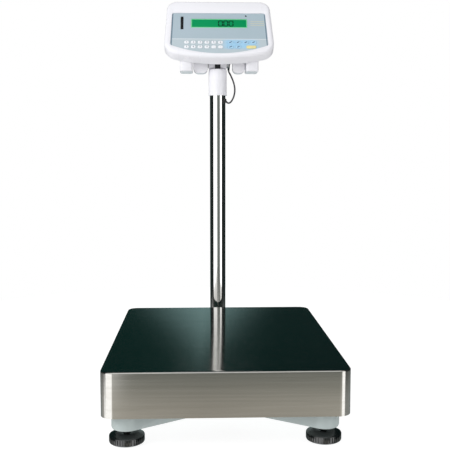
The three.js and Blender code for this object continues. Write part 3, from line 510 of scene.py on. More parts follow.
stainless = stainless_finish()
polished = surface("polished_steel", (0.82, 0.82, 0.81), 0.07, vary=0.02, rough_vary=0.03, metallic=1.0,
                   scale=700, bump=0.0004, pattern=lines_upright)
cast_paint = surface("cast_paint", (0.43, 0.49, 0.48), 0.42, vary=0.03, scale=420, bump=0.05, dusty=0.25)
white_shell = surface("white_shell", (0.88, 0.875, 0.91), 0.3, vary=0.012, scale=1500, bump=0.006, dusty=0.06,
                      Coat_Weight=0.15)
wheel_black = surface("wheel_black", (0.004, 0.006, 0.006), 0.2, vary=0.2, scale=900, bump=0.004, dusty=0.01,
                      Specular_IOR_Level=1.0)
rubber = surface("rubber", (0.025, 0.025, 0.026), 0.75, vary=0.15, scale=700, bump=0.04, dusty=0.15)
plain_steel = surface("plain_steel", (0.52, 0.53, 0.54), 0.35, metallic=1.0, scale=600, bump=0.004)
aluminium = surface("milled_aluminium", (0.72, 0.73, 0.75), 0.33, metallic=1.0, scale=500, bump=0.004,
                    pattern=lines_across)
# The lug is steel, but its near-black colour is painted shade for the shadowed notch above the collar.
dark_steel = surface("dark_steel", (0.03, 0.032, 0.035), 0.4, metallic=0.6, scale=700, bump=0.01)
sheath = surface("lead_sheath", (0.035, 0.035, 0.04), 0.42, vary=0.1, scale=1200, bump=0.01)
black_plastic = surface("black_plastic", (0.006, 0.006, 0.008), 0.2, vary=0.1, scale=1200, bump=0.002,
                        Specular_IOR_Level=0.3)
board_green = surface("solder_mask", (0.03, 0.16, 0.06), 0.4, vary=0.1, scale=300, bump=0.01)
key_white = surface("key_white", (0.88, 0.90, 0.93), 0.4, vary=0.01, scale=1600, bump=0.006)
key_blue = surface("key_blue", (0.42, 0.66, 0.85), 0.4, vary=0.02, scale=1600, bump=0.006)
key_yellow = surface("key_yellow", (0.84, 0.74, 0.34), 0.4, vary=0.02, scale=1600, bump=0.006)
ink_blue = surface("ink_blue", (0.04, 0.09, 0.18), 0.5, vary=0.05, scale=2000, bump=0.0)
ink_grey = surface("ink_grey", (0.06, 0.09, 0.14), 0.5, vary=0.05, scale=2000, bump=0.0)
display_rim = surface("display_rim", (0.20, 0.74, 0.36), 0.35, vary=0.03, scale=900, bump=0.0,
                      Specular_IOR_Level=0.15)
display_dark = surface("display_dark", (0.0, 0.016, 0.009), 0.4, vary=0.05, scale=900, bump=0.0,
                       Specular_IOR_Level=0.1)
print("materials:", len(bpy.data.materials))

# %% [markdown]
# The display is lit from behind, so its colour glows a little. The glow isn't quite even, which a soft
# noise over the window suggests.

# %% Display finish
def lit_window():
    material = surface("lit_window", (0.0, 0.17, 0.055), 0.35, vary=0.03, scale=500, bump=0.0,
                       Specular_IOR_Level=0.1)
    tree = material.node_tree
    shader = tree.nodes["Principled BSDF"]
    place_of = node(tree, "ShaderNodeTexCoord").outputs["Object"]
    glow = mask_of(tree, smudges, place_of, Scale=25.0)
    lamp_light = two_tone(tree, glow, (0.0, 0.20, 0.065), (0.0, 0.27, 0.09))
    tree.links.new(lamp_light, shader.inputs["Emission Color"])
    shader.inputs["Emission Strength"].default_value = 0.5
    return material


window_green = lit_window()
print("window glows through", window_green.name)

# %% [markdown]
# The fascia is one printed film: blue-grey above, a white line, a paler field under the number keys and a
# sky-blue field under the function keys. Thin dark lines down its sides are painted shadow of the recess's
# edge. The print is drawn in the face's own frame, which a Mapping node gives from the piece's coordinates.

# %% Fascia finish
def band(tree, value, centre, half, soft):
    """1 where the value lies within half of the centre, falling to 0 over soft, all in metres."""
    away = calc(tree, "ABSOLUTE", calc(tree, "SUBTRACT", value, centre))
    return ramped(tree, away, half, half + soft, 1.0, 0.0)


def both(tree, first, second):
    return calc(tree, "MULTIPLY", first, second)


# The last two numbers place and lean the thin dark lines near the fascia's sides, which are painted shadow of
# the recess's edge.
WHITE_LINE, RECESS_SHADOW_LINE, RECESS_SHADOW_LEAN = 42, 105.9, 0.0251
LABEL_ROWS = (84, 89.5, 95)


def printed_film():
    material = surface("printed_film", (0.5, 0.6, 0.68), 0.36, scale=1800, bump=0.004)
    tree = material.node_tree
    shader = tree.nodes["Principled BSDF"]
    place_of = node(tree, "ShaderNodeTexCoord").outputs["Object"]
    back = face_frame.inverted()
    turned = node(tree, "ShaderNodeMapping", [
        ("Vector", place_of), ("Location", back.to_translation()), ("Rotation", back.to_euler("XYZ")),
    ], vector_type="POINT")
    axes = node(tree, "ShaderNodeSeparateXYZ", [("Vector", turned.outputs["Vector"])])
    u, v = axes.outputs["X"], axes.outputs["Y"]
    cloud = mask_of(tree, smudges, place_of, Scale=9.0)
    upper = mixed(tree, cloud, (0.37, 0.49, 0.53), (0.45, 0.53, 0.60))
    keypad = mixed(tree, cloud, (0.44, 0.54, 0.57), (0.55, 0.62, 0.67))
    below = ramped(tree, v, (WHITE_LINE - 0.2) * MM, (WHITE_LINE + 0.2) * MM, 1.0, 0.0)
    ground = mixed(tree, below, upper, keypad)
    sky = both(tree, band(tree, u, 47 * MM, 28 * MM, 16 * MM), band(tree, v, 27 * MM, 9 * MM, 8 * MM))
    ground = mixed(tree, both(tree, sky, below), ground, (0.36, 0.62, 0.83))
    ground = mixed(tree, band(tree, v, WHITE_LINE * MM, 0.45 * MM, 0.15 * MM), ground, (0.86, 0.88, 0.9))
    # Painted shadow: two thin dark lines along the fascia's sides stand in for the shade that the recess's
    # edge casts.
    slanted = calc(tree, "MULTIPLY_ADD", v, RECESS_SHADOW_LEAN, calc(tree, "ABSOLUTE", u))
    recess_shadow_lines = both(tree, band(tree, slanted, RECESS_SHADOW_LINE * MM, 0.75 * MM, 0.3 * MM),
                      band(tree, v, 70 * MM, 46 * MM, 4 * MM))
    ground = mixed(tree, recess_shadow_lines, ground, (0.10, 0.17, 0.24))
    rows, *others = (band(tree, v, height * MM, 0.5 * MM, 0.2 * MM) for height in LABEL_ROWS)
    for row in others:
        rows = calc(tree, "MAXIMUM", rows, row)
    label = both(tree, rows, band(tree, u, 86 * MM, 15 * MM, 1 * MM))
    ground = mixed(tree, label, ground, (0.66, 0.62, 0.42))
    tree.links.new(ground, shader.inputs["Base Color"])
    return material


film = printed_film()
print("fascia print in the face's frame")

# %% [markdown]
# ## The lead
# A thin flexible lead leaves the column through a grommet, hangs in a short loop and goes up into the
# head. Both ends are held, so it sags under its own weight between them. A curve with a round bevel gives
# the tube, and it is made a mesh.

# %% The lead
LEAD_RADIUS = 1.8
LEAD_ROUTE = [
    (20.4, 288.2, 584.2), (22.2, 287.4, 582.9), (25.2, 287.1, 582.5), (28.3, 287.4, 584.2),
    (31.2, 287.8, 587.8), (34.2, 288.3, 593), (36.6, 289.4, 600), (38, 291.2, 608), (38.1, 293.6, 616),
    (36.9, 296.9, 624.5), (34.6, 300.8, 633), (31.6, 304.8, 641), (28.6, 308.5, 648),
    (26.2, 311.4, 652.6), (25.1, 312.5, 656.6),
]
route = [Vector((x * MM, pan_middle.y + y * MM, z * MM)) for x, y, z in LEAD_ROUTE]


def smooth_path(points, steps=6):
    """Points on a centripetal Catmull-Rom curve through the route."""
    first = points[0] * 2 - points[1]
    last = points[-1] * 2 - points[-2]
    padded = [first, *points, last]
    path = []
    for p0, p1, p2, p3 in zip(padded, padded[1:], padded[2:], padded[3:]):
        t1 = (p1 - p0).length ** 0.5
        t2 = t1 + (p2 - p1).length ** 0.5
        t3 = t2 + (p3 - p2).length ** 0.5
        for i in range(steps):
            t = t1 + (t2 - t1) * i / steps
            a1 = p0 * ((t1 - t) / t1) + p1 * (t / t1)
            a2 = p1 * ((t2 - t) / (t2 - t1)) + p2 * ((t - t1) / (t2 - t1))
            a3 = p2 * ((t3 - t) / (t3 - t2)) + p3 * ((t - t2) / (t3 - t2))
            b1 = a1 * ((t2 - t) / t2) + a2 * (t / t2)
            b2 = a2 * ((t3 - t) / (t3 - t1)) + a3 * ((t - t1) / (t3 - t1))
            path.append(b1 * ((t2 - t) / (t2 - t1)) + b2 * ((t - t1) / (t2 - t1)))
    return path + [points[-1]]


lead_path = smooth_path(route)
curve = bpy.data.curves.new("lead", "CURVE")
curve.dimensions = "3D"
curve.bevel_depth = LEAD_RADIUS * MM
curve.bevel_resolution = 5
curve.use_fill_caps = True
spline = curve.splines.new("POLY")
spline.points.add(len(lead_path) - 1)
for point, co in zip(spline.points, lead_path):
    point.co = (*co, 1)
lead = bpy.data.objects.new("indicator_lead_sheath", curve)
scene.collection.objects.link(lead)
only(lead)
bpy.ops.object.convert(target="MESH")
lead = bpy.context.object
lead.data.name = lead.name
tidy(lead, 60)
coated(lead, sheath)
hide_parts("indicator_lead")
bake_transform(lead)

# %% [markdown]
# The boot under the head has rings that let the lead bend without a kink, and the grommet in the column is
# a rubber collar pushed into its hole. Both are turned, and the grommet is then leaned to the angle at which
# the lead leaves.

# %% Boot and grommet
boot_low, boot_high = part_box("lead_connector")
boot_x = (boot_low.x + boot_high.x) / 2
boot_y = (boot_low.y + boot_high.y) / 2
boot_z = boot_low.z / MM
boot_rings = [(2.2, boot_z)]
for i in range(5):
    start, width = boot_z + 0.4 + 2.2 * i, 2.5 + 0.22 * i
    neck = width - 0.45
    boot_rings += [(width, start), (width, start + 1.3), (neck, start + 1.5), (neck, start + 2.1)]
boot_rings += [(4.1, boot_z + 13.2), (4.4, boot_z + 13.8), (4.4, boot_high.z / MM)]
boot = tidy(built_up("lead_boot", boot_rings, boot_x, boot_y, 40), 30)
finished(boot, "head", sheath, "lead_connector")

lean = Vector((0, 0, 1)).rotation_difference((route[1] - route[0]).normalized())
exit_frame = Matrix.Translation(route[0]) @ lean.to_matrix().to_4x4()
grommet = built_up("lead_grommet", [
    (3.5, -10.3), (3.5, -7.6), (5.2, -7.4), (5.4, -7.0), (5.4, -5.6), (4.9, -5.2), (2.9, -3.9), (2.6, -2.4),
    (2.3, -0.5), (2.2, -0.35),
], 0, 0, 40)
place(grommet, exit_frame)
tidy(grommet, 30)
finished(grommet, "base", rubber, "column_grommet")

# %% [markdown]
# ## The weighing pan
# The real pan is a flat sheet whose four sides are folded down and whose corners are welded and ground
# round. A box without its underside has the same form: its upright edges are rounded to the corner radius,
# then the rim to the bend radius, and a wall is given inwards.

# %% The weighing pan
PAN_CORNER, PAN_BEND, PAN_SHEET = 21, 3, 1.5
bpy.ops.object.select_all(action="DESELECT")
bpy.ops.mesh.primitive_cube_add(size=1, location=pan_middle, scale=pan_high - pan_low)
pan = named("pan_sheet")
place(pan)
edit(pan)
pick_faces(pan, lambda middle, normal: normal.z < -0.5)
bpy.ops.mesh.delete(type="FACE")
pick_edges(pan, lambda a, b: abs(a.z - b.z) > 0.02)
bpy.ops.mesh.bevel(offset=PAN_CORNER * MM, segments=14, affect="EDGES")
pick_edges(pan, lambda a, b: min(a.z, b.z) > pan_high.z - SAME_POINT)
bpy.ops.mesh.bevel(offset=PAN_BEND * MM, segments=6, affect="EDGES")
bpy.ops.mesh.select_all(action="SELECT")
bpy.ops.mesh.remove_doubles(threshold=SAME_POINT)
bpy.ops.mesh.normals_make_consistent(inside=False)
done()
apply_modifier(pan, "SOLIDIFY", thickness=PAN_SHEET * MM, offset=-1)
only(pan)
bpy.ops.object.shade_smooth_by_angle(angle=math.radians(30))
print("pan corners:", len(pan.data.polygons), "faces")

# %% [markdown]
# The brushing runs across the pan on top and level along its skirt. The UV map holds the direction at right
# angles to the grooves: towards the back on top, and upright on the skirt.

# %% Direction of the brushing
uv = pan.data.uv_layers.new(name="brushing")
for polygon in pan.data.polygons:
    flat = abs(polygon.normal.z) > 0.7
    sideways = abs(polygon.normal.x) > abs(polygon.normal.y)
    for loop in polygon.loop_indices:
        co = pan.data.vertices[pan.data.loops[loop].vertex_index].co
        along = co.y if sideways else co.x
        uv.data[loop].uv = (co.y, co.x) if flat else (co.z, along)
finished(pan, "pan", stainless, "weighing_pan")

# %% [markdown]
# ## The base
# The casting, the carrier arms over it and the bracket that holds the column are painted metal. Their
# shape is right in the frame, and a cast edge is never sharp, so they are refined copies.

# %% Castings
for node_name, body, width in (("base_casting", "base", 0.8), ("pan_carrier", "platform", 0.5),
                               ("column_bracket", "base", 0.8)):
    cast = refined(node_name, node_name + "_cast", width, 30, whole=False)
    finished(cast, body, cast_paint)

# %% [markdown]
# ## Levelling feet
# Each foot is a moulded wheel on a threaded stud, with a rubber pad under it. The wheel is built up from
# its recess outwards and up to the stud, whose thread is a row of ridges. The grip round the rim is pressed
# in: every third face of the band is inset and pushed inwards.

# %% One levelling foot, and three copies
WHEEL_SIDES, GRIP_EVERY = 120, 3
THREAD_START, THREAD_END, THREAD_PITCH = 18.6, 44, 1.5
CORNERS = ("front_left", "front_right", "rear_right", "rear_left")
wheel_low, wheel_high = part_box("levelling_foot_front_left")
foot_x = (wheel_low.x + wheel_high.x) / 2
foot_y = (wheel_low.y + wheel_high.y) / 2
wheel_profile = [
    (22.3, 4.3), (22.3, 1.2), (27, 1.2), (28.4, 2.1), (29, 3.7), (29, 12.3), (28.5, 13.3), (27, 14.1),
    (24, 15.4), (20.6, 16.9), (19.6, 17.6), (18.6, 17.9), (9.5, 18), (8.6, 17.6), (7.4, 17.6), (7, 18),
    (5, 18),
]
ridge = THREAD_START
while ridge < THREAD_END:
    wheel_profile += [(4.4, ridge), (4.4, ridge + 0.2), (5, ridge + 0.75), (5, ridge + 0.95)]
    ridge += THREAD_PITCH
wheel_profile += [(4.4, 45), (4, wheel_high.z / MM)]
wheel = built_up("foot_wheel_front_left", wheel_profile, foot_x, foot_y, WHEEL_SIDES)
edit(wheel)


def grip_face(middle, normal):
    if not (3.8 * MM < middle.z < 12 * MM and abs(normal.z) < 0.2):
        return False
    if (middle.xy - Vector((foot_x, foot_y))).length < 27 * MM:
        return False
    turn = math.atan2(middle.y - foot_y, middle.x - foot_x) / (2 * math.pi) * WHEEL_SIDES
    return int(math.floor(turn + 0.5 * WHEEL_SIDES)) % GRIP_EVERY == 0


pick_faces(wheel, grip_face)
bpy.ops.mesh.inset(thickness=0.2 * MM, depth=-1.6 * MM, use_individual=True)
done()
tidy(wheel, 32)
pad = built_up("foot_cushion_front_left", [
    (20.6, 0), (21.4, 0.1), (22, 0.8), (22, 3.4), (21.6, 3.9), (21, 4),
], foot_x, foot_y, 64)
tidy(pad, 30)
for corner in CORNERS:
    far_low, far_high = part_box("levelling_foot_" + corner)
    shift = (far_low + far_high) / 2 - (wheel_low + wheel_high) / 2
    if corner == "front_left":
        this_wheel, this_pad = wheel, pad
    else:
        this_wheel = copied(wheel, "foot_wheel_" + corner, shift)
        this_pad = copied(pad, "foot_cushion_" + corner, shift)
    finished(this_wheel, "foot_" + corner, wheel_black, "levelling_foot_" + corner)
    finished(this_pad, "pad_" + corner, rubber, "foot_pad_" + corner)

# %% [markdown]
# ## The column
# A drawn and polished tube, open at both ends: a cylinder without ends that is given a wall inwards. A hole
# is drilled where the lead comes out. The collar over its top is moulded, with a lip round its foot, rounded
# shoulders and a slot for the lug.

# %% Column tube and collar
TUBE_WALL = 1.5
tube_low, tube_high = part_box("column_tube")
tube_radius = (tube_high.x - tube_low.x) / 2
bpy.ops.object.select_all(action="DESELECT")
bpy.ops.mesh.primitive_cylinder_add(
    vertices=128, radius=tube_radius, depth=tube_high.z - tube_low.z, end_fill_type="NOTHING",
    location=(column_axis.x, column_axis.y, (tube_low.z + tube_high.z) / 2))
tube = named("column_shaft")
place(tube)
edit(tube)
bpy.ops.mesh.normals_make_consistent(inside=False)
done()
apply_modifier(tube, "SOLIDIFY", thickness=TUBE_WALL * MM, offset=-1)
drill = built_up("lead_drill", [(3.9, -16), (3.9, 2)], 0, 0, 40)
place(drill, exit_frame)
carve(tube, drill)
tidy(tube, 30)
finished(tube, "base", polished, "column_tube")

collar_low, collar_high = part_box("column_collar")
foot = collar_low.z / MM
top = collar_high.z / MM
collar = built_up("column_cap", [
    (17.8, top - 12), (17.8, foot), (20.1, foot), (20.5, foot + 0.4), (20.5, foot + 2.6), (20.2, foot + 3),
    (20.2, top - 2.4), (19.9, top - 1.2), (19.2, top - 0.4), (18.2, top),
], column_axis.x, column_axis.y, 96)
slot_tool = slab("slot_tool", rounded_rect(12.6, 16.6, 0.4), top - 10, top + 1)
place(slot_tool, Matrix.Translation(column_axis))
carve(collar, slot_tool)
tidy(collar, 30)
finished(collar, "base", white_shell, "column_collar")

# %% [markdown]
# ## The tilt joint and the rear shell
# The lug, the bolt through it and the saddle are small fittings, and the rear shell is a deep moulding with
# two stub legs. All are refined copies, the shell with a softer edge.

# %% Tilt fittings and rear shell
# The lug's near-black colour is painted shade, standing in for the shadow in the notch where it sits.
finished(refined("tilt_lug", "tilt_lug_steel", 0.4), "base", dark_steel)
finished(refined("tilt_bolt", "tilt_bolt_zinc", 0.3), "head", plain_steel)
finished(refined("tilt_saddle", "tilt_saddle_moulding", 0.7), "head", white_shell)
finished(refined("case_rear", "rear_shell", 0.5, 25), "head", white_shell)
finished(refined("power_inlet", "power_socket", 0.3), "head", black_plastic)

# %% [markdown]
# ## The front shell
# The front shell is a shallow tray seen from outside: its front edge is well rounded, its inside is
# hollow, and a recess with the fascia's outline is sunk into it. Windows for the display, the light bar and
# every key go right through.

# %% Key places and window tools
CASE = dict(half_top=117, half_bottom=121, top=157.9, bottom=-10, bow=14, top_corner=24, bottom_corner=34)
FASCIA = dict(half_top=104.5, half_bottom=107.5, top=119.4, bottom=0, bow=23, top_corner=5, bottom_corner=6)
DISPLAY = (0.5, 89.4, 125, 26.3)
LIGHT_BAR = (-82.3, 90, 5.8, 38)
KEY_ROWS = (32.2, 18.7)
KEY_HEIGHT, KEY_BACK, KEY_FRONT = 8.6, -6.5, -0.4
CASE_DEPTH, CASE_WALL, FACE_PLATE, CASE_EDGE = 25, 2.5, 5, 7
number_places = [(-72 + 14.92 * i, v, 11) for v in KEY_ROWS for i in range(6)]
function_places = [(24.5 + 16.9 * i, v, 12.4) for v, count in zip(KEY_ROWS, (4, 2)) for i in range(count)]
wide_place = (70.2, KEY_ROWS[1], 22)


def on_face(obj, angle=30):
    """Carries a piece from the face's own frame to its place on the head."""
    place(obj, face_frame)
    return tidy(obj, angle)


def key_points(key, grow):
    u, v, width = key
    return rounded_rect(width + 2 * grow, KEY_HEIGHT + 2 * grow, KEY_HEIGHT / 2 - 0.4 + grow, u, v, 6)


def window_tools(name, back, front):
    tools = [slab("tool", key_points(key, 0.4), back, front)
             for key in (*number_places, *function_places, wide_place)]
    for u, v, width, height in (DISPLAY, LIGHT_BAR):
        tools.append(slab("tool", rounded_rect(width + 0.8, height + 0.8, 0.6, u, v), back, front))
    return joined(name, tools)


print("keys:", len(number_places), "number,", len(function_places), "function and 1 wide")

# %% [markdown]
# The slab is first rounded and hollowed, then the recess and the windows are cut. The edges that the cuts
# leave are broken with a narrow bevel last, so that every opening catches a thin line of light.

# %% Front shell
shell = slab("front_shell", bowed_outline(**CASE), -CASE_DEPTH, 0)
round_rim(shell, 0, CASE_EDGE, 8)
carve(shell, slab("hollow_tool", bowed_outline(**CASE, inset=CASE_WALL), -CASE_DEPTH - 1, -FACE_PLATE))
carve(shell, slab("recess_tool", bowed_outline(**FASCIA, inset=-0.4), -2.5, 1))
carve(shell, window_tools("shell_windows", -12, 1))
apply_modifier(shell, "BEVEL", width=0.35 * MM, segments=2, limit_method="ANGLE",
               angle_limit=math.radians(50))
on_face(shell, 32)
finished(shell, "head", white_shell, "case_front")

# %% [markdown]
# The fascia is a thin sheet that lies in the recess, a little below its rim. It has the same windows, cut
# with a fresh set of tools.

# %% Fascia
fascia = slab("fascia_film", bowed_outline(**FASCIA), -2.2, -1.2)
carve(fascia, window_tools("fascia_windows", -4, 1))
on_face(fascia)
finished(fascia, "head", film, "fascia")

# %% [markdown]
# ## The keys
# A key cap is a rounded bar with a softly domed top. One is modelled for each width and copied to its
# places. The number keys carry digits, and the function keys a small mark.

# %% Key caps
def key_cap(name, width):
    cap = slab(name, key_points((0, 0, width), 0), KEY_BACK, KEY_FRONT)
    return round_rim(cap, KEY_FRONT, 0.9, 4)


def put_key(cap, name, u, v, material):
    key = on_face(copied(cap, name + "_cap", (u * MM, v * MM, 0)), 40)
    finished(key, name, material, name)


small_cap = key_cap("small_cap", 11)
function_cap = key_cap("function_cap", 12.4)
wide_cap = key_cap("wide_cap", 22)
for i, (u, v, _) in enumerate(number_places):
    put_key(small_cap, f"number_key_{i + 1}", u, v, key_white)
for i, (u, v, _) in enumerate(function_places):
    put_key(function_cap, f"function_key_{i + 1}", u, v, key_blue)
put_key(wide_cap, "wide_key", wide_place[0], wide_place[1], key_yellow)
for cap in (small_cap, function_cap, wide_cap):
    bpy.data.objects.remove(cap)

# %% [markdown]
# The digits are Blender's own text, given a little depth and made a mesh. They are generic, as on any
# keypad. A mark is a short slanted bar.

# %% Digits and marks on the keys
def printed_digit(text, name, u, v):
    bpy.ops.object.select_all(action="DESELECT")
    bpy.ops.object.text_add(location=(0, 0, 0))
    label = bpy.context.object
    label.data.body = text
    label.data.size = 6.2 * MM
    label.data.extrude = 0.06 * MM
    label.data.resolution_u = 3
    label.data.align_x = "CENTER"
    label.data.align_y = "CENTER"
    bpy.ops.object.convert(target="MESH")
    label = named(name)
    place(label, face_frame @ Matrix.Translation((u * MM, v * MM, KEY_FRONT * MM)))
    return label


for i, (u, v, _) in enumerate(number_places):
    digit = printed_digit("1234567890.-"[i], f"number_key_{i + 1}_digit", u, v)
    finished(digit, f"number_key_{i + 1}", ink_grey)
mark = slab("mark", rounded_rect(6.8, 2.0, 0.9), -0.45, -0.34)
mark.data.transform(Matrix.Rotation(math.radians(32), 4, "Z"))
for i, (u, v, _) in enumerate(function_places):
    this_mark = copied(mark, f"function_key_{i + 1}_mark", (u * MM, v * MM, 0))
    place(this_mark, face_frame)
    finished(this_mark, f"function_key_{i + 1}", ink_blue)
bpy.data.objects.remove(mark)

# %% [markdown]
# ## The display
# The display module has a pale green frame, a window lit from behind and dark digits of seven segments. A
# nought needs six of them: one segment is modelled, and copies are turned into place.

# %% Display
du, dv, dw, dh = DISPLAY
rim = slab("display_frame", rounded_rect(dw, dh, 0.8, du, dv), -7, -1.5)
round_rim(rim, -1.5, 0.3, 2)
carve(rim, slab("window_tool", rounded_rect(dw - 3.4, dh - 3.4, 0.6, du, dv), -2.3, 0))
on_face(rim)
finished(rim, "head", display_rim, "display_module")
window = slab("display_window", rounded_rect(dw - 3.6, dh - 3.6, 0.6, du, dv), -2.25, -1.8)
round_rim(window, -1.8, 0.15, 2)
on_face(window)
finished(window, "head", window_green)


SEGMENT_HALF = 1.2


def segment(length):
    half = length / 2
    flat = half - SEGMENT_HALF
    bar = [(-half, 0), (-flat, -SEGMENT_HALF), (flat, -SEGMENT_HALF), (half, 0), (flat, SEGMENT_HALF),
           (-flat, SEGMENT_HALF)]
    return slab("segment", bar, -1.79, -1.7)


def nought(u, v, width=8.6, height=15.5):
    pieces = []
    for dx, dy, length, turn in (
            (0, height / 2, width, 0), (0, -height / 2, width, 0),
            (-width / 2, height / 4, height / 2, 90), (width / 2, height / 4, height / 2, 90),
            (-width / 2, -height / 4, height / 2, 90), (width / 2, -height / 4, height / 2, 90)):
        bar = segment(length - 0.5)
        bar.data.transform(Matrix.Rotation(math.radians(turn), 4, "Z"))
        bar.data.transform(Matrix.Translation(((u + dx) * MM, (v + dy) * MM, 0)))
        pieces.append(bar)
    return pieces


digits = nought(3.6, dv) + nought(15.4, dv) + nought(27.2, dv)
digits.append(slab("point", rounded_rect(1.8, 1.8, 0.6, 9.5, dv - 7.8), -1.79, -1.7))
reading = joined("display_reading", digits)
on_face(reading)
finished(reading, "head", display_dark)

# %% [markdown]
# The limit light bar is a smoked strip, and a small dark sensor sits above the display. Both stand a little
# proud of the film.

# %% Light bar and sensor
bu, bv, bw, bh = LIGHT_BAR
bar = slab("light_bar_lens", rounded_rect(bw, bh, 1.4, bu, bv), -7, -1)
round_rim(bar, -1, 0.5, 3)
on_face(bar)
finished(bar, "head", black_plastic, "limit_light_bar")
sensor = built_up("light_sensor", [(2.0, -1.25), (2.0, -0.9), (1.7, -0.6), (1.0, -0.4)], 0, 0, 32)
place(sensor, face_frame @ Matrix.Translation((60.9 * MM, 111.7 * MM, 0)))
tidy(sensor, 40)
finished(sensor, "head", black_plastic)

# %% [markdown]
# Six screws hold the rear shell. Each is a pan head with a cross recess, modelled once: a turned head whose
# recess is cut by a small cross.

# %% Rear screws
rear_low, rear_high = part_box("case_rear")
screw = built_up("screw", [(3.0, -0.4), (3.2, 0), (3.2, 0.5), (2.8, 1.0), (2.0, 1.3), (0.9, 1.4)], 0, 0, 32)
for size in ((3.4, 0.7), (0.7, 3.4)):
    carve(screw, slab("cross", rounded_rect(*size, 0.2), 0.7, 2))
screw.data.transform(Matrix.Rotation(-math.pi / 2, 4, "X"))
for i, (sx, sz) in enumerate(((-70, 34), (0, 34), (70, 34), (-80, 86), (0, 86), (80, 86))):
    spot = (face_foot.x + sx * MM, rear_high.y, face_foot.z + sz * MM)
    this_screw = tidy(copied(screw, f"rear_screw_{i + 1}", spot), 30)
    finished(this_screw, "head", plain_steel)
bpy.data.objects.remove(screw)

# %% [markdown]
# ## The load cell
# The cell is one block of aluminium, held at one end by the base and at the other by the pan's carrier.
# Its thin webs bend a fraction of a millimetre under a load, so it isn't on one body or the other.

# %% Load cell
cell = refined("load_cell", "load_cell_block", 0.4, whole=False)
coated(cell, aluminium)
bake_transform(cell)

# %% [markdown]
# ## Inner pieces
# The cell's spacers, the bolts, the buffers, the cable and the board are seen only from below or not at
# all. They keep their own shape and get a finish.

# %% Finishes for the inner nodes
inner = {"circuit_board": board_green, "load_cell_cable": sheath}
for name in ("cell_lower_spacer", "cell_upper_spacer", "cell_lower_bolt_1", "cell_lower_bolt_2",
             "cell_upper_bolt_1", "cell_upper_bolt_2", "bracket_bolt_1", "bracket_bolt_2"):
    inner[name] = plain_steel
for corner in CORNERS:
    inner["pan_buffer_" + corner] = rubber
for name, material in inner.items():
    for used in frame["nodes"][name].material_slots:
        used.material = material
print("inner nodes finished:", len(inner))

# %% [markdown]
# ## Floor and light
# The floor is plain and pale and shines a little by itself, so that shadows stay faint. It is hidden from
# reflections, which would otherwise show its edge.

# %% Floor
bpy.ops.object.select_all(action="DESELECT")
bpy.ops.mesh.primitive_circle_add(vertices=96, radius=1.15, fill_type="NGON", location=(0, 0, -0.0002))
floor = named("floor")
floor_paint = bpy.data.materials.new("floor_paint")
floor_paint.use_nodes = True
floor_shader = floor_paint.node_tree.nodes["Principled BSDF"]
floor_shader.inputs["Base Color"].default_value = (0.22, 0.22, 0.22, 1)
floor_shader.inputs["Roughness"].default_value = 0.9
floor_shader.inputs["Emission Color"].default_value = (1, 1, 1, 1)
floor_shader.inputs["Emission Strength"].default_value = 0.9
floor.data.materials.append(floor_paint)
floor.visible_glossy = False
print("floor is", round(floor.dimensions.x, 2), "m across")

# %% [markdown]
# What a polished thing shows is the room around it. The world gives that room to reflections only: walls
# that change with the direction, a floor in front, and a bright ceiling behind the camera. Two bright panels
# leave the white bands on the column, and the dark end behind the scale is what the pan mirrors. Everything
# else is lit by an even, soft sky and two broad lights, and the camera itself sees white.

# %% Light
def round_the_room(tree, share, wanted):
    """A colour that changes with the direction, from a list of angles and colours."""
    ramp = node(tree, "ShaderNodeValToRGB", [("Fac", share)])
    stops = ramp.color_ramp.elements
    stops.remove(stops[1])
    stops[0].position = 0
    stops[0].color = wanted[0][1] + (1,)
    for angle, color in wanted[1:]:
        stops.new(angle / 360).color = color + (1,)
    return ramp.outputs["Color"]


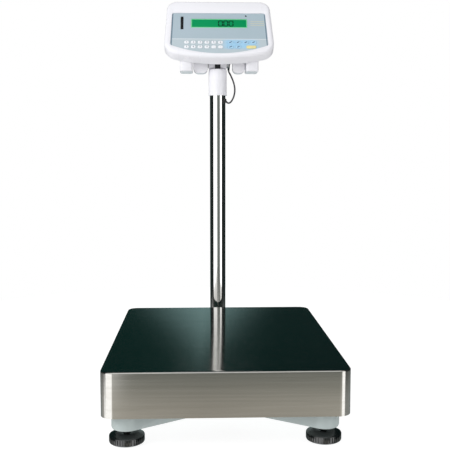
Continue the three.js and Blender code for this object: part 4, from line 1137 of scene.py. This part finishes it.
def studio_room():
    world = bpy.data.worlds.new("studio")
    scene.world = world
    world.use_nodes = True
    tree = world.node_tree
    out = tree.nodes["World Output"]
    seen = tree.nodes["Background"]
    seen.inputs["Color"].default_value = (1, 1, 1, 1)
    direction = node(tree, "ShaderNodeTexCoord").outputs["Generated"]
    axes = node(tree, "ShaderNodeSeparateXYZ", [("Vector", direction)])
    x, y, z = axes.outputs["X"], axes.outputs["Y"], axes.outputs["Z"]
    share = ramped(tree, calc(tree, "ARCTAN2", x, y), -math.pi, math.pi)
    # Angles run clockwise seen from above: 0 towards the camera, 90 left, 180 behind the scale, 270 right.
    green, shade = (0.002, 0.022, 0.019), (0.018, 0.022, 0.021)
    panel, lamp = (1.8, 1.8, 1.8), (1.75, 1.75, 1.75)
    centre, carpet = (0.16, 0.18, 0.165), (0.52, 0.49, 0.43)
    level, raised = (
        round_the_room(tree, share, [
            (0, centre), (9, centre), (12, wall), (64, wall), (69, shade), (110, shade), (135, green),
            (178, green), (200, (0.002, 0.012, 0.012)), (280, shade), (298, shade), (301, wall), (325, wall),
            (328, (0.26, 0.27, 0.26)), (342, centre), (360, centre)])
        for wall in (panel, (0.95, 0.95, 0.94)))
    low = round_the_room(tree, share, [
        (0, carpet), (12, (0.62, 0.59, 0.52)), (18, lamp), (84, lamp), (92, (0.66, 0.65, 0.62)),
        (130, (0.36, 0.38, 0.37)), (165, (0.07, 0.1, 0.095)), (195, (0.07, 0.1, 0.095)),
        (240, (0.36, 0.38, 0.37)), (296, (0.45, 0.46, 0.44)), (301, lamp), (324, lamp),
        (329, (0.9, 0.87, 0.8)), (346, (0.62, 0.59, 0.52)), (360, carpet)])
    above = mixed(tree, ramped(tree, z, 0.12, 0.2), level, raised)
    around = mixed(tree, ramped(tree, z, -0.19, -0.26), above, low)
    # A fan of light behind the column, wide near the floor and narrow above.
    spread = calc(tree, "MULTIPLY_ADD", z, 0.35, calc(tree, "ABSOLUTE", x))
    behind = calc(tree, "GREATER_THAN", y, 0.5)
    lit = mixed(tree, both(tree, ramped(tree, spread, 0.135, 0.055), behind), around, (0.22, 0.36, 0.36))
    # The ceiling starts high behind the camera.
    ceiling = ramped(tree, calc(tree, "SUBTRACT", z, y), 1.18, 1.38)
    room = mixed(tree, ceiling, lit, (1.1, 1.1, 1.1))
    mirror = node(tree, "ShaderNodeBackground", [("Color", room), ("Strength", 1.0)])
    soft = node(tree, "ShaderNodeBackground", [("Color", (0.97, 0.98, 1.0, 1)), ("Strength", 0.62)])
    path = node(tree, "ShaderNodeLightPath")
    unseen = node(tree, "ShaderNodeMixShader",
                  [(0, path.outputs["Is Glossy Ray"]), (1, soft.outputs[0]), (2, mirror.outputs[0])])
    whole = node(tree, "ShaderNodeMixShader",
                 [(0, path.outputs["Is Camera Ray"]), (1, unseen.outputs[0]), (2, seen.outputs[0])])
    tree.links.new(whole.outputs[0], out.inputs["Surface"])


studio_room()


def softbox(name, location, target, width, height, power):
    data = bpy.data.lights.new(name, "AREA")
    data.shape = "RECTANGLE"
    data.size = width
    data.size_y = height
    data.energy = power
    lamp = bpy.data.objects.new(name, data)
    scene.collection.objects.link(lamp)
    lamp.location = location
    lamp.rotation_euler = (Vector(target) - Vector(location)).to_track_quat("-Z", "Y").to_euler()
    lamp.visible_glossy = False


softbox("left_softbox", (-1.9, -1.2, 1.5), (0, 0, 0.35), 1.0, 1.4, 36)
softbox("right_softbox", (1.9, -1.0, 1.4), (0, 0, 0.35), 0.8, 1.2, 7)
scene.view_settings.view_transform = "Standard"

# %% [markdown]
# The view layer is brought up to date at the end.

# %% The end
bpy.context.view_layer.update()
